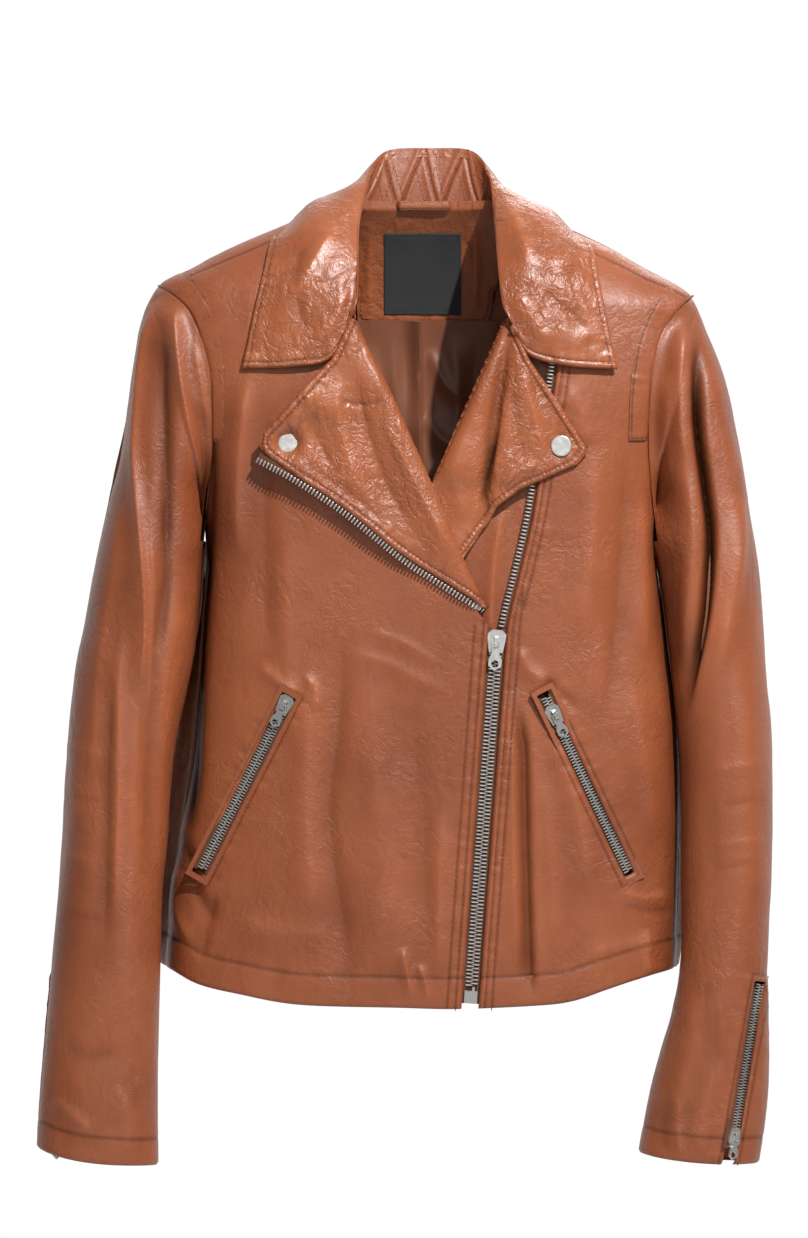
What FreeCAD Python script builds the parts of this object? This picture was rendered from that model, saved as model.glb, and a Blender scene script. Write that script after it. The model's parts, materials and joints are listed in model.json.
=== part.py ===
"""Leather riding jacket, hung by the loop at its back neck.

Row frame: millimetres, +Z up, +X towards the wearer's left, +Y towards the back.
The origin is the middle of the hang loop, so nearly everything lies below it.
"right" and "left" in names are the wearer's, so right is at negative X.

The shell is cut the way a tailor would cut it: one tube for the body and one for
each sleeve, parted along the real seams, with lining, facings, collar, lapels,
zips, snaps and pockets as pieces of their own.
"""
import FreeCAD
import Part

import math
import os

V = FreeCAD.Vector

# ---- driving dimensions -------------------------------------------------------
LEATHER = 2.0            # shell leather with its interlining
LINING = 1.0             # satin lining
GAP = 0.4                # clearance between pieces that move past each other
BODY_MID_Y = -24.0       # plane of the side seams
CHEST_DEPTH = 60.0       # from that plane to the front or the back of the body
CHEST_Y = BODY_MID_Y - CHEST_DEPTH
INNER_LAYER = 4.0        # depth of lining and facings below the outside of the shell
FLAP_LAYER = 7.0         # depth of the wind flap behind the main zip
NECK_SEAM_Z = -4.0       # where the collar stand meets the back
SECTION_POINTS = 20      # points round one cross-section of a tube
SLIVER = 0.001           # a solid smaller than this share of its node's largest is dropped

# Zip sizes: a chunky metal zip on the front, a finer one elsewhere.
SLOT_HALF = 7.4          # from the zip's line to the edge of the leather
TAPE_THICK = 0.8
TAPE_HALF = 12.0
TOOTH_DEEP = 1.2         # half the thickness of the teeth
TOOTH_IN = 0.65          # half the slit that the slider's post runs in
TOOTH_OUT = 3.6          # outer edge of the teeth from the zip's line
FINE_TOOTH_OUT = 3.0     # the same for the pocket and cuff zips
ZIP_SUNK = 3.5           # depth of the main zip's middle plane below the leather

# Body cross-sections from the neck down: height, right side, left side,
# half depth, and how square the section is (2 is an ellipse).
BODY_SECTIONS = [
    (12, -42, 42, 16, 2.2),
    (3, -58, 58, 22, 2.2),
    (-16, -102, 100, 34, 2.3),
    (-33, -142, 136, 42, 2.4),
    (-47, -170, 162, 47, 2.6),
    (-57, -184, 180, 50, 2.8),
    (-69, -190, 191, 53, 3.0),
    (-90, -189, 191, 57, 3.2),
    (-125, -181, 185, 60, 3.5),
    (-175, -168, 173, 60, 3.7),
    (-240, -157, 163, 60, 3.5),
    (-350, -161, 169, 60, 3.0),
    (-450, -173, 178, 60, 2.7),
    (-520, -182, 181, 60, 2.6),
    (-590, -187, 180, 60, 2.6),
]
# The hem's line across the front, from the wearer's right to left.
HEM_LINE = [
    (-215, -540), (-186, -550), (-150, -571), (-90, -577), (40, -576), (110, -572), (150, -557), (210, -546),
]
HEM_TURN_UP = 25.0

# Armhole seams in front view, from the shoulder tip to the armpit.
ARMHOLES = {
    "right": [(-191, -54), (-174, -70), (-160, -92), (-152.5, -130), (-152.5, -180), (-160, -243)],
    "left": [(194, -56), (178, -76), (166, -105), (161.5, -140), (161, -185), (166, -243)],
}

# Sleeve cross-sections: height, outer side, inner side, middle, half depth.
SLEEVE_SECTIONS = {
    "right": [
        (-59, -194, -168, -24, 20), (-72, -199, -146, -24, 35), (-92, -204, -134, -25, 43),
        (-125, -209, -130, -26, 46), (-165, -216, -134, -28, 48), (-210, -225, -148, -30, 48),
        (-255, -235, -164, -32, 48), (-330, -248, -171, -37, 46), (-400, -255, -179, -42, 43),
        (-480, -261, -188, -47, 39), (-560, -268, -193, -52, 34), (-640, -275, -192, -56, 30),
        (-700, -279, -191, -59, 28),
    ],
    "left": [
        (-61, 197, 170, -24, 20), (-74, 201, 150, -24, 35), (-94, 205, 141, -25, 43),
        (-125, 213, 138, -26, 46), (-165, 223, 142, -28, 48), (-210, 231, 154, -30, 48),
        (-255, 239, 170, -32, 48), (-330, 246, 175, -37, 46), (-400, 250, 183, -42, 43),
        (-480, 249, 186, -47, 39), (-550, 246, 186, -52, 35), (-640, 246, 164, -56, 31),
        (-700, 238, 150, -59, 29),
    ],
}
CUFF_LINES = {
    "right": [(-300, -668), (-268, -682), (-230, -689), (-170, -691)],
    "left": [(130, -674), (165, -684), (210, -689), (262, -689)],
}

# Lines of the fronts, in front view.
ROLL_TOP, ROLL_FOOT = V(-46, 0, -90), V(45, 0, -292)          # right lapel's fold
CREASE_TOP, CREASE_FOOT = V(60, 0, -92), V(40, 0, -226)       # left lapel's fold
LAPEL_THICK = 3.0
LAPEL_BACK_Y = CHEST_Y - 0.6

# Main zip: straight from the box at the hem to the slider.
ZIP_FOOT, ZIP_TOP = V(33, CHEST_Y + ZIP_SUNK, -574), V(52.5, CHEST_Y + ZIP_SUNK, -305)

# The left row of teeth goes on past the slider, up under the lapel.
ZIP_UPPER_LINE = [(55.5, -292), (64, -258), (72, -222), (80, -170), (88, -124), (92, -86)]


# ---- helpers ------------------------------------------------------------------
def section(z, x_right, x_left, y_mid, half_depth, power):
    """A closed, rounded cross-section at height z."""
    middle, half = (x_right + x_left) / 2, abs(x_left - x_right) / 2
    points = []
    for i in range(SECTION_POINTS):
        t = 2 * math.pi * i / SECTION_POINTS
        c, s = math.cos(t), math.sin(t)
        x = middle + half * math.copysign(abs(c) ** (2 / power), c)
        y = y_mid + half_depth * math.copysign(abs(s) ** (2 / power), s)
        points.append(V(x, y, z))
    curve = Part.BSplineCurve()
    curve.interpolate(points, PeriodicFlag=True)
    return Part.Wire(curve.toShape())


def body_solid(shrink):
    """The filled body, every side moved in by shrink."""
    wires = [
        section(z - shrink, r + shrink, l - shrink, BODY_MID_Y, d - shrink, p)
        for z, r, l, d, p in BODY_SECTIONS
    ]
    return Part.makeLoft(wires, True, True)


def sleeve_solid(side, shrink):
    """The filled sleeve of one side, every side moved in by shrink."""
    sign = -1 if side == "right" else 1
    wires = [
        section(z - shrink * (z > -80), o - sign * shrink, i + sign * shrink, y, d - shrink, 2.2)
        for z, o, i, y, d in SLEEVE_SECTIONS[side]
    ]
    return Part.makeLoft(wires, True, True)


def prism(outline, y0=-200.0, y1=160.0):
    """An outline in front view, given as (x, z) pairs or as edges' wire, run from y0 to y1."""
    if isinstance(outline, list):
        points = [V(x, y0, z) for x, z in outline]
        outline = Part.makePolygon(points + points[:1])
    face = Part.Face(outline)
    return face.extrude(V(0, y1 - y0, 0))


def curve_edge(points, y):
    """One smooth edge through (x, z) pairs at depth y."""
    curve = Part.BSplineCurve()
    curve.interpolate([V(x, y, z) for x, z in points])
    return curve.toShape()


def closed_by(points, corners, y0=-200.0, y1=160.0):
    """The solid between a smooth line through points and the straight way back over corners."""
    smooth = curve_edge(points, y0)
    back = [points[-1]] + corners + [points[0]]
    edges = [smooth]
    for a, b in zip(back, back[1:]):
        edges.append(Part.makeLine(V(a[0], y0, a[1]), V(b[0], y0, b[1])))
    return prism(Part.Wire(edges), y0, y1)


def box(x0, x1, y0, y1, z0, z1):
    return Part.makeBox(x1 - x0, y1 - y0, z1 - z0, V(x0, y0, z0))


def placed(shape, origin, up, out):
    """A piece modelled with +Z along its zip and -Y outwards, moved to its place."""
    up, out = V(up).normalize(), V(out)
    out = (out - up * out.dot(up)).normalize()
    across = up.cross(out)
    matrix = FreeCAD.Matrix(
        across.x, -out.x, up.x, origin.x,
        across.y, -out.y, up.y, origin.y,
        across.z, -out.z, up.z, origin.z,
        0, 0, 0, 1,
    )
    moved = shape.copy()
    moved.transformShape(matrix)
    return moved


def save(name, *solids):
    """Writes one node. Everything passed in is split into its solids first."""
    found = [s for shape in solids for s in shape.Solids]
    largest = max(s.Volume for s in found)
    found = [s for s in found if s.Volume > SLIVER * largest]
    for s in found:
        if not s.isValid():
            print("not valid:", name)
    shape = found[0] if len(found) == 1 else Part.makeCompound(found)
    shape.exportStep(os.path.join("parts", name + ".step"))
    print(name, len(found), round(sum(s.Volume for s in found)))


# ---- cutting tools shared by the pieces ---------------------------------------
def armhole_tool(side, widen):
    """Everything outboard of the armhole seam, above the armpit. widen moves the seam."""
    sign = -1 if side == "right" else 1
    line = [(x + sign * widen, z) for x, z in ARMHOLES[side]]
    foot = line[-1]
    top = line[0][1] + 60
    return closed_by(line, [(sign * 330, foot[1]), (sign * 330, top), (line[0][0], top)])


def hem_tool(raise_by=0.0):
    """Everything below the hem's line."""
    line = [(x, z + raise_by) for x, z in HEM_LINE]
    return closed_by(line, [(line[-1][0], -700), (line[0][0], -700)])


def front_half():
    return box(-300, 300, -200, BODY_MID_Y, -620, 40)


def back_half():
    return box(-300, 300, BODY_MID_Y, 160, -620, 40)


def zip_edge(offset):
    """Foot and top of a line beside the main zip, offset across it."""
    along = (ZIP_TOP - ZIP_FOOT).normalize()
    across = V(along.z, 0, -along.x)
    foot = ZIP_FOOT - along * 30 + across * offset
    top = ZIP_TOP + across * offset
    return (foot.x, foot.z), (top.x, top.z)


def right_front_region(inset=0.0):
    """The wearer's right front, as far as the lapel's fold and the zip. inset moves its edge in."""
    foot, top = zip_edge(-SLOT_HALF - inset)
    neck_x = -53 - inset
    fold = [(ROLL_TOP.x - inset, ROLL_TOP.z), (ROLL_FOOT.x - 9 - inset, ROLL_FOOT.z)]
    rest = [top, foot, (foot[0], -640), (-330, -640), (-330, 40)]
    return prism([(neck_x, 40), (neck_x, -80)] + fold + rest)


def left_front_region(inset=0.0):
    """The wearer's left front, outboard of the main zip over its whole length."""
    foot, top = zip_edge(SLOT_HALF + inset)
    line = [(x + SLOT_HALF + inset, z) for x, z in ZIP_UPPER_LINE]
    upper = [top] + line
    neck_x = 59.5 + inset
    shoulder = [(line[-1][0], -80), (neck_x, -80), (neck_x, 40), (330, 40)]
    return closed_by(upper, shoulder + [(330, -640), (foot[0], -640), foot])


def neck_tool():
    """The neck opening in the back: a shallow scoop between the shoulders."""
    arc = Part.Arc(V(-56, -200, 6), V(2, -200, NECK_SEAM_Z), V(60, -200, 6)).toShape()
    lid = Part.makePolygon([V(60, -200, 6), V(60, -200, 60), V(-56, -200, 60), V(-56, -200, 6)])
    return prism(Part.Wire([arc] + lid.Edges))


# ---- zips ---------------------------------------------------------------------
def zip_tape(length, half=TAPE_HALF, inner=TOOTH_OUT):
    """Two woven tapes side by side, standing on z = 0."""
    thick = TAPE_THICK / 2
    return [
        box(-half, -inner, -thick, thick, 0, length),
        box(inner, half, -thick, thick, 0, length),
    ]


def zip_teeth(length, start=0.0, outer=TOOTH_OUT):
    """Two rows of teeth, each one bar, with a slit between them for the slider's post."""
    return [
        box(-outer, -TOOTH_IN, -TOOTH_DEEP, TOOTH_DEEP, start, length),
        box(TOOTH_IN, outer, -TOOTH_DEEP, TOOTH_DEEP, start, length),
    ]


def slider(scale=1.0):
    """A slider round the teeth, its mouth up, with a lug for the pull. Origin at its middle."""
    outline = [(-4.9, -8), (4.9, -8), (6.4, 1), (6.6, 5.5), (3.6, 8.4), (-3.6, 8.4), (-6.6, 5.5), (-6.4, 1)]
    block = prism(outline, -3.0, 2.9)
    block = block.cut(box(-4.1, 4.1, -1.6, 1.6, -20, 20))
    block = block.cut(box(-20, 20, -0.75, 0.75, -20, 20))
    post = box(-0.4, 0.4, -2.0, 2.0, 3.6, 8.0)
    lug = box(-1.5, 1.5, -6.3, -2.6, -4.2, 4.2).cut(box(-3, 3, -5.15, -3.0, -2.8, 2.8))
    front = [e for e in lug.Edges if abs(e.CenterOfMass.y + 6.3) < 0.01]
    edges = [e for e in front if abs(abs(e.CenterOfMass.z) - 4.2) < 0.01]
    lug = lug.makeFillet(1.4, edges)
    return scaled(block.fuse([post, lug]).removeSplitter(), scale)


PULL_AXIS_Y = -4.1       # the pull's bar, in front of the zip's middle plane
PULL_EYE_Z = -16.0
PULL_EYE_R = 2.6


def pull(scale=1.0):
    """A pull tab: a bar through the slider's lug, two arms, a waist and a six-sided eye."""
    bar = Part.makeCylinder(0.8, 6.0, V(-3.0, PULL_AXIS_Y, 0), V(1, 0, 0))
    outline = [(-3.1, 0.7), (3.1, 0.7), (3.0, -5.0), (2.6, -8.5), (4.7, -12.8), (4.7, -17.6), (0, -21.0),
               (-4.7, -17.6), (-4.7, -12.8), (-2.6, -8.5), (-3.0, -5.0)]
    plate = prism(outline, PULL_AXIS_Y - 0.8, PULL_AXIS_Y + 0.8)
    plate = plate.cut(box(-1.8, 1.8, -10, 0, -5.6, 3))
    eye = Part.makeCylinder(PULL_EYE_R, 10, V(0, -9, PULL_EYE_Z), V(0, 1, 0))
    return scaled(plate.cut(eye).fuse(bar).removeSplitter(), scale)


def scaled(shape, factor):
    if factor == 1.0:
        return shape
    matrix = FreeCAD.Matrix()
    matrix.scale(factor, factor, factor)
    return shape.transformGeometry(matrix)


# ---- body shell ---------------------------------------------------------------
def shell_layer(depth, thickness):
    """A skin of the body: from depth below the outside, thickness thick, open at both ends."""
    return body_solid(depth).cut(body_solid(depth + thickness))


def without_armholes(shape, widen=0.0):
    """Trims a skin of the body back from both armholes."""
    return shape.cut([armhole_tool("right", -widen), armhole_tool("left", -widen)])


def make_body(pocket_holes):
    """The shell, its linings and facings. Gives back the two layers round the neck."""
    leather = without_armholes(shell_layer(0, LEATHER)).cut(hem_tool())
    back = leather.common(back_half()).cut(neck_tool())
    save("back_panel", back)
    front = leather.common(front_half())
    save("right_front_panel", front.common(right_front_region()).cut(pocket_holes["right"]))
    save("left_front_panel", front.common(left_front_region()).cut(pocket_holes["left"]))

    inner = without_armholes(shell_layer(INNER_LAYER, LINING), 6.0).cut(hem_tool(HEM_TURN_UP + 0.5))
    facing = without_armholes(shell_layer(INNER_LAYER, LINING), 6.0)
    neck_patch = prism([(-52, -86), (56, -86), (56, 40), (-52, 40)], BODY_MID_Y, 160)
    save("back_lining", inner.common(back_half()).cut([neck_tool(), neck_patch]))
    front = inner.common(front_half())
    save("right_front_lining", front.common(right_front_region(34)).cut(pocket_holes["right"]))
    save("left_front_lining", front.common(left_front_region(12)).cut(pocket_holes["left"]))
    neck_facing = facing.common(neck_patch).cut(neck_tool())
    save("back_neck_facing", neck_facing)
    label = [V(-29, 3.0, -20), V(-29, 2.2, -20), V(-29, 22.6, -78), V(-29, 23.4, -78)]
    save("neck_label", Part.Face(Part.makePolygon(label + label[:1])).extrude(V(56, 0, 0)))
    edge_strip = right_front_region(1.0).cut(right_front_region(33.5))
    turned = shell_layer(LEATHER, INNER_LAYER - LEATHER)
    turned = turned.common(right_front_region(5.5).cut(right_front_region(8)))
    strip_down = facing.common(front_half()).common(edge_strip).fuse(turned.common(front_half()))
    save("right_front_facing", strip_down.cut(hem_tool(HEM_TURN_UP + 0.5)))

    turned_up = shell_layer(INNER_LAYER - 1.6, 1.4).cut(hem_tool(0.5)).common(hem_tool(HEM_TURN_UP))
    foot_r, top_r = zip_edge(-TAPE_HALF - 1)
    foot_l, top_l = zip_edge(TAPE_HALF + 1)
    zip_gap = prism([foot_r, top_r, top_l, foot_l, (foot_l[0], -640), (foot_r[0], -640)], -200, BODY_MID_Y)
    save("hem_facing", turned_up.cut(zip_gap))
    return [back.common(box(-90, 90, -60, 60, -60, 20)), neck_facing]


def make_wind_flap():
    """The strip of leather behind the main zip, sewn to the left front, up to the collar."""
    skin = shell_layer(FLAP_LAYER, 1.5).common(front_half()).cut(hem_tool(3.0))
    free_edge = [(48, -84), (7, -203), (22, -246), (26, -300), (6, -640)]
    sewn_edge = [(62, -640), (79, -300), (98, -120), (98, -84)]
    outline = prism(free_edge + sewn_edge)
    sewn = shell_layer(INNER_LAYER + LINING, FLAP_LAYER - INNER_LAYER - LINING + 0.5)
    sewn = sewn.common(outline).common(left_front_region(14)).common(front_half())
    sewn = sewn.cut(hem_tool(HEM_TURN_UP + 2))
    save("wind_flap", skin.common(outline).fuse(sewn).removeSplitter())


def make_shoulder_patches():
    skin = body_solid(-1.3).cut(body_solid(-0.05))
    for side, sign in (("right", -1), ("left", 1)):
        seam = [(x - sign * 1.0, z) for x, z in ARMHOLES[side][:-1]]
        inboard = [(x - sign * 15, z - 3) for x, z in reversed(seam)]
        upper = curve_edge(seam, -200)
        lower = curve_edge(inboard, -200)
        first = Part.makeLine(V(seam[-1][0], -200, seam[-1][1]), V(inboard[0][0], -200, inboard[0][1]))
        corners = [(inboard[-1][0], inboard[-1][1]), (inboard[-1][0], 10), (seam[0][0], 10), seam[0]]
        last = [Part.makeLine(V(a[0], -200, a[1]), V(b[0], -200, b[1])) for a, b in zip(corners, corners[1:])]
        region = prism(Part.Wire([upper, first, lower] + last))
        save(side + "_shoulder_patch", skin.common(region).common(box(-300, 300, -200, 160, -182, 0)))


# ---- neck: collar and loop ------------------------------------------------------
# Half of the collar, from the middle of the back to the gorge, as stations:
# neck seam, fold, middle and outer edge. X is measured from the collar's middle.
COLLAR_MID_X = 3.0
COLLAR_STATIONS = [
    (V(0, 3.4, NECK_SEAM_Z + 0.6), V(0, 7, 34), V(0, 17, 13), V(0, 19, -16)),
    (V(30, 1, -2), V(29, 3, 33.5), V(40, 14, 11), V(50, 17, -18)),
    (V(50, -9, 4), V(42, -14, 24), V(68, -2, 8), V(98, 6, -19)),
    (V(55, -26, 6), V(46, -33, 10), V(80, -28, 3), V(113, -28, -18)),
    (V(54, -44, -8), V(49, -58, -12), V(88, -65, -14), V(120, -69, -50)),
    (V(53, -62, -34), V(50, -77, -42), V(92, -81, -50), V(129, -78.5, -88)),
    (V(52, -78, -66), V(49, -86, -72), V(96, -85.8, -86), V(136, -80.5, -118)),
    (V(52, -84, -150), V(49, -86, -150), V(96, -85.8, -150), V(136, -81.5, -150)),
]
LEATHER_FACE = 1.4       # thickness of each layer of the collar


def collar_rows(picks):
    """The stations' chosen points, right round the neck."""
    half = [[s[i] for i in picks] for s in COLLAR_STATIONS]
    mirrored = [[V(-p.x, p.y, p.z) for p in row] for row in reversed(half[1:])]
    shift = V(COLLAR_MID_X, 0, 0)
    return [[p + shift for p in row] for row in mirrored + half]


def layer(rows, near, far):
    """A smooth layer on rows of points, between two distances along their inward normal."""
    wires = []
    for i, row in enumerate(rows):
        before, after = rows[max(i - 1, 0)], rows[min(i + 1, len(rows) - 1)]
        low, high = [], []
        for j, p in enumerate(row):
            along = after[j] - before[j]
            down = row[min(j + 1, len(row) - 1)] - row[max(j - 1, 0)]
            normal = down.cross(along)
            if i in (0, len(rows) - 1):
                normal.z = 0
            normal.normalize()
            low.append(p + normal * near)
            high.append(p + normal * far)
        wires.append(Part.makePolygon(low + high[::-1] + low[:1]))
    return Part.makeLoft(wires, True, False)


def gorge_tool():
    """Everything beyond the collar's front edges: the gorge seams and the notches."""
    right = [(-200, -119), (-124, -119.5), (-89, -118), (-67.4, -113), (-50.6, -77.5), (-30, -77.5)]
    left = [(210, -119), (140, -118), (105, -117.5), (76, -110.5), (61.5, -86.5), (36, -86.5)]
    return [prism(right + [(-30, -260), (-200, -260)]), prism(left + [(36, -260), (210, -260)])]


def make_collar():
    fall = collar_rows([1, 2, 3])
    lifted = [[a + (b - a).normalize() * 1.5, b, c] for a, b, c in fall]
    under = layer(lifted, -LEATHER_FACE, 0.0).cut(gorge_tool())
    upper = layer(lifted, -2 * LEATHER_FACE, -LEATHER_FACE).cut(gorge_tool())
    save("under_collar", under)
    save("upper_collar", upper)
    below = box(-120, 120, -130, -50, -200, -70)
    stand = layer(collar_rows([0, 1]), -1.3, -0.1).cut(gorge_tool() + [below])
    save("collar_stand", stand)
    return stand


def make_hang_loop(stand, neck):
    pads = [box(x0, x1, -11.2, 9, -3.4, 3.4) for x0, x1 in ((-26, -19), (19, 26))]
    strap = box(-26, 26, -12.8, -11.2, -3.4, 3.4)
    loop = strap.fuse(pads).removeSplitter().cut([stand] + neck)
    save("hang_loop", max(loop.Solids, key=lambda s: s.Volume))


# ---- lapels and snaps -----------------------------------------------------------
def make_lapels():
    y0, y1 = LAPEL_BACK_Y - LAPEL_THICK, LAPEL_BACK_Y
    lower = [(-115, -180), (-90, -198), (-54, -222), (-14, -254), (20, -276), (41, -289)]
    right = closed_by(lower, [(45, -292), (-46, -90), (-50, -84.5), (-65, -113.5), (-116, -168)], y0, y1)
    save("right_lapel", right)
    tape_out = [(x - 3.4, z - 7.0) for x, z in lower[:-1]] + [(37.0, -296.5)]
    band = Part.Face(Part.Wire([
        curve_edge(lower, y1 - TAPE_THICK),
        Part.makeLine(V(41, y1 - TAPE_THICK, -289), V(37.0, y1 - TAPE_THICK, -296.5)),
        curve_edge(tape_out, y1 - TAPE_THICK),
        Part.makeLine(V(-118.4, y1 - TAPE_THICK, -187), V(-115, y1 - TAPE_THICK, -180)),
    ])).extrude(V(0, TAPE_THICK, 0))
    save("right_lapel_zip_tape", band)
    teeth_out = [(x - 1.4, z - 2.9) for x, z in tape_out]
    teeth = Part.Face(Part.Wire([
        curve_edge(tape_out, y1 - 2 * TOOTH_DEEP),
        Part.makeLine(V(37.0, y1 - 2 * TOOTH_DEEP, -296.5), V(35.6, y1 - 2 * TOOTH_DEEP, -299.4)),
        curve_edge(teeth_out, y1 - 2 * TOOTH_DEEP),
        Part.makeLine(V(-119.8, y1 - 2 * TOOTH_DEEP, -189.9), V(-118.4, y1 - 2 * TOOTH_DEEP, -187)),
    ])).extrude(V(0, 2 * TOOTH_DEEP, 0))
    save("right_lapel_zip_teeth", teeth)

    edge = [(40, -226), (52, -215), (66, -207), (88, -197), (111, -184)]
    left = closed_by(edge, [(117, -174), (74, -112), (61, -89.5), (59.5, -93)], y0, y1)
    save("left_lapel", left)


SNAPS = {"right": V(-97, 0, -173), "left": V(98, 0, -175)}
SNAP_CAP_R = 7.6
SNAP_STUD_R = 4.5


def make_snaps():
    for side, at in SNAPS.items():
        face = LAPEL_BACK_Y - LAPEL_THICK
        cap = Part.makeCylinder(SNAP_CAP_R, 1.8, V(at.x, face - 1.8, at.z), V(0, 1, 0))
        rim = [e for e in cap.Edges if abs(e.CenterOfMass.y - (face - 1.8)) < 0.01]
        save(side + "_snap_cap", cap.makeFillet(0.9, rim))
        stud = Part.makeCylinder(SNAP_STUD_R, 8, V(at.x, LAPEL_BACK_Y + GAP, at.z), V(0, 1, 0))
        save(side + "_snap_stud", max(stud.cut(body_solid(0)).Solids, key=lambda s: s.Volume))


# ---- pockets ---------------------------------------------------------------------
POCKETS = {
    # foot and head of the zip's line, and where the slider's middle stands on it
    "right": (V(-160, -59.5, -480), V(-97, -81.5, -356), 0.965),
    "left": (V(147, -66.5, -482), V(86, -82.5, -354), 0.895),
}
POCKET_SCALE = 0.86
BAG_LAYER, BAG_DEEP = 5.1, 8.0


def pocket_frame(side):
    foot, head, share = POCKETS[side]
    up = head - foot
    out = V(0.32 if side == "left" else -0.32, -1, 0)
    return foot, up, out, up.Length, share


def pocket_hole(side):
    foot, up, out, length, share = pocket_frame(side)
    return placed(box(-9.5, 9.5, -14, 14, -7, length + 7), foot, up, out)


def make_pocket(side):
    foot, up, out, length, share = pocket_frame(side)
    frame = box(-9.2, 9.2, -3.0, -1.0, -6.7, length + 6.7).cut(box(-6.0, 6.0, -10, 10, -3, length + 3))
    save(side + "_pocket_welt", placed(frame, foot, up, out))
    bands = zip_tape(length, 9.0, FINE_TOOTH_OUT)
    save(side + "_pocket_zip_tape", *[placed(s, foot, up, out) for s in bands])
    stop = box(-3.4, 3.4, -1.5, 1.5, -1.6, 1.6)
    rows = zip_teeth(length, 1.6, FINE_TOOTH_OUT)
    save(side + "_pocket_zip_teeth", *[placed(s, foot, up, out) for s in rows + [stop.cut(bands)]])
    middle = foot + up * share
    save(side + "_pocket_slider", placed(slider(POCKET_SCALE), middle, up, out))
    save(side + "_pocket_pull", placed(pull(POCKET_SCALE), middle, up, out))
    make_pocket_bag(side)


def make_pocket_bag(side):
    """A thin bag that hangs behind the zip, joined to its tape by a short neck."""
    foot, up, out, length, share = pocket_frame(side)
    sign = -1 if side == "right" else 1
    whole = [(84, -345), (112, -338), (152, -440), (158, -500), (140, -526), (84, -520), (78, -440)]
    inner = [(87, -349), (109, -343), (147, -441), (153, -498), (138, -522), (87, -516), (81, -440)]
    whole, inner = ([(x * sign, z) for x, z in line] for line in (whole, inner))
    bag = shell_layer(BAG_LAYER, BAG_DEEP).common(front_half()).common(prism(whole))
    hollow = shell_layer(BAG_LAYER + 0.9, BAG_DEEP - 1.8).common(front_half()).common(prism(inner))
    mouth = placed(box(-7.2, 7.2, -6, 7.0, -3.5, length + 3.5), foot, up, out)
    neck = placed(box(-8.4, 8.4, 0.5, 5.2, -5, length + 5), foot, up, out)
    save(side + "_pocket_bag", bag.cut(hollow).fuse(neck).cut(mouth).removeSplitter())


# ---- sleeves ----------------------------------------------------------------------
CUFFS = {
    # head and foot of the cuff zip's line, and the way it faces
    "right": (V(-259.5, -40, -560), V(-262, -46, -680), V(-0.78, 0.62, 0)),
    "left": (V(240, -71, -560), V(219.5, -85, -678), V(0.62, -0.78, 0)),
}
CUFF_SCALE = 0.8


def cuff_frame(side):
    head, foot, out = CUFFS[side]
    return foot, head - foot, out, (head - foot).Length


def cuff_line_tool(side):
    sign = -1 if side == "right" else 1
    line = CUFF_LINES[side]
    return closed_by(line, [(line[-1][0], -760), (line[0][0], -760)])


def make_sleeve(side):
    reach = prism([(-340, -243), (340, -243), (340, -760), (-340, -760)])
    keep = armhole_tool(side, GAP).fuse(reach.copy()).removeSplitter()
    tube = sleeve_solid(side, 0).cut(sleeve_solid(side, LEATHER)).common(keep).cut(cuff_line_tool(side))
    foot, up, out, length = cuff_frame(side)
    slot = placed(box(-8.2, 8.2, -12, 12, -30, length + 5), foot, up, out)
    tube = tube.cut(slot)
    line = [(-30, 0), (-24, -60), (-32, -255), (-47, -480), (-59, -700), (-59, -760)]
    seam = prism_x(line + [(200, -760), (200, 0)])
    save(side + "_upper_sleeve", tube.cut(seam))
    save(side + "_under_sleeve", tube.common(seam))
    lining = sleeve_solid(side, LEATHER + 1.2).cut(sleeve_solid(side, LEATHER + 1.2 + LINING))
    lining = lining.common(armhole_tool(side, 5).fuse(reach).removeSplitter())
    lining = lining.cut([cuff_line_tool(side), slot])
    save(side + "_sleeve_lining", lining.cut(prism([(-340, -660), (340, -660), (340, -760), (-340, -760)])))


def prism_x(outline):
    """An outline of (y, z) pairs run across the whole width."""
    points = [V(-340, y, z) for y, z in outline]
    return Part.Face(Part.makePolygon(points + points[:1])).extrude(V(680, 0, 0))


def make_cuff_zip(side):
    foot, up, out, length = cuff_frame(side)
    bands = zip_tape(length, 7.8, FINE_TOOTH_OUT)
    rows = zip_teeth(length, 0.0, FINE_TOOTH_OUT)
    save(side + "_cuff_zip_tape", *[placed(s, foot, up, out) for s in bands])
    save(side + "_cuff_zip_teeth", *[placed(s, foot, up, out) for s in rows])
    turned = Part.makeCompound([slider(CUFF_SCALE)]).copy()
    turned.rotate(V(0, 0, 0), V(0, 1, 0), 180)
    middle = foot + up * (9.0 / length)
    save(side + "_cuff_slider", placed(turned, middle, up, out))
    save(side + "_cuff_pull", placed(pull(CUFF_SCALE), middle, up, out))


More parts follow.
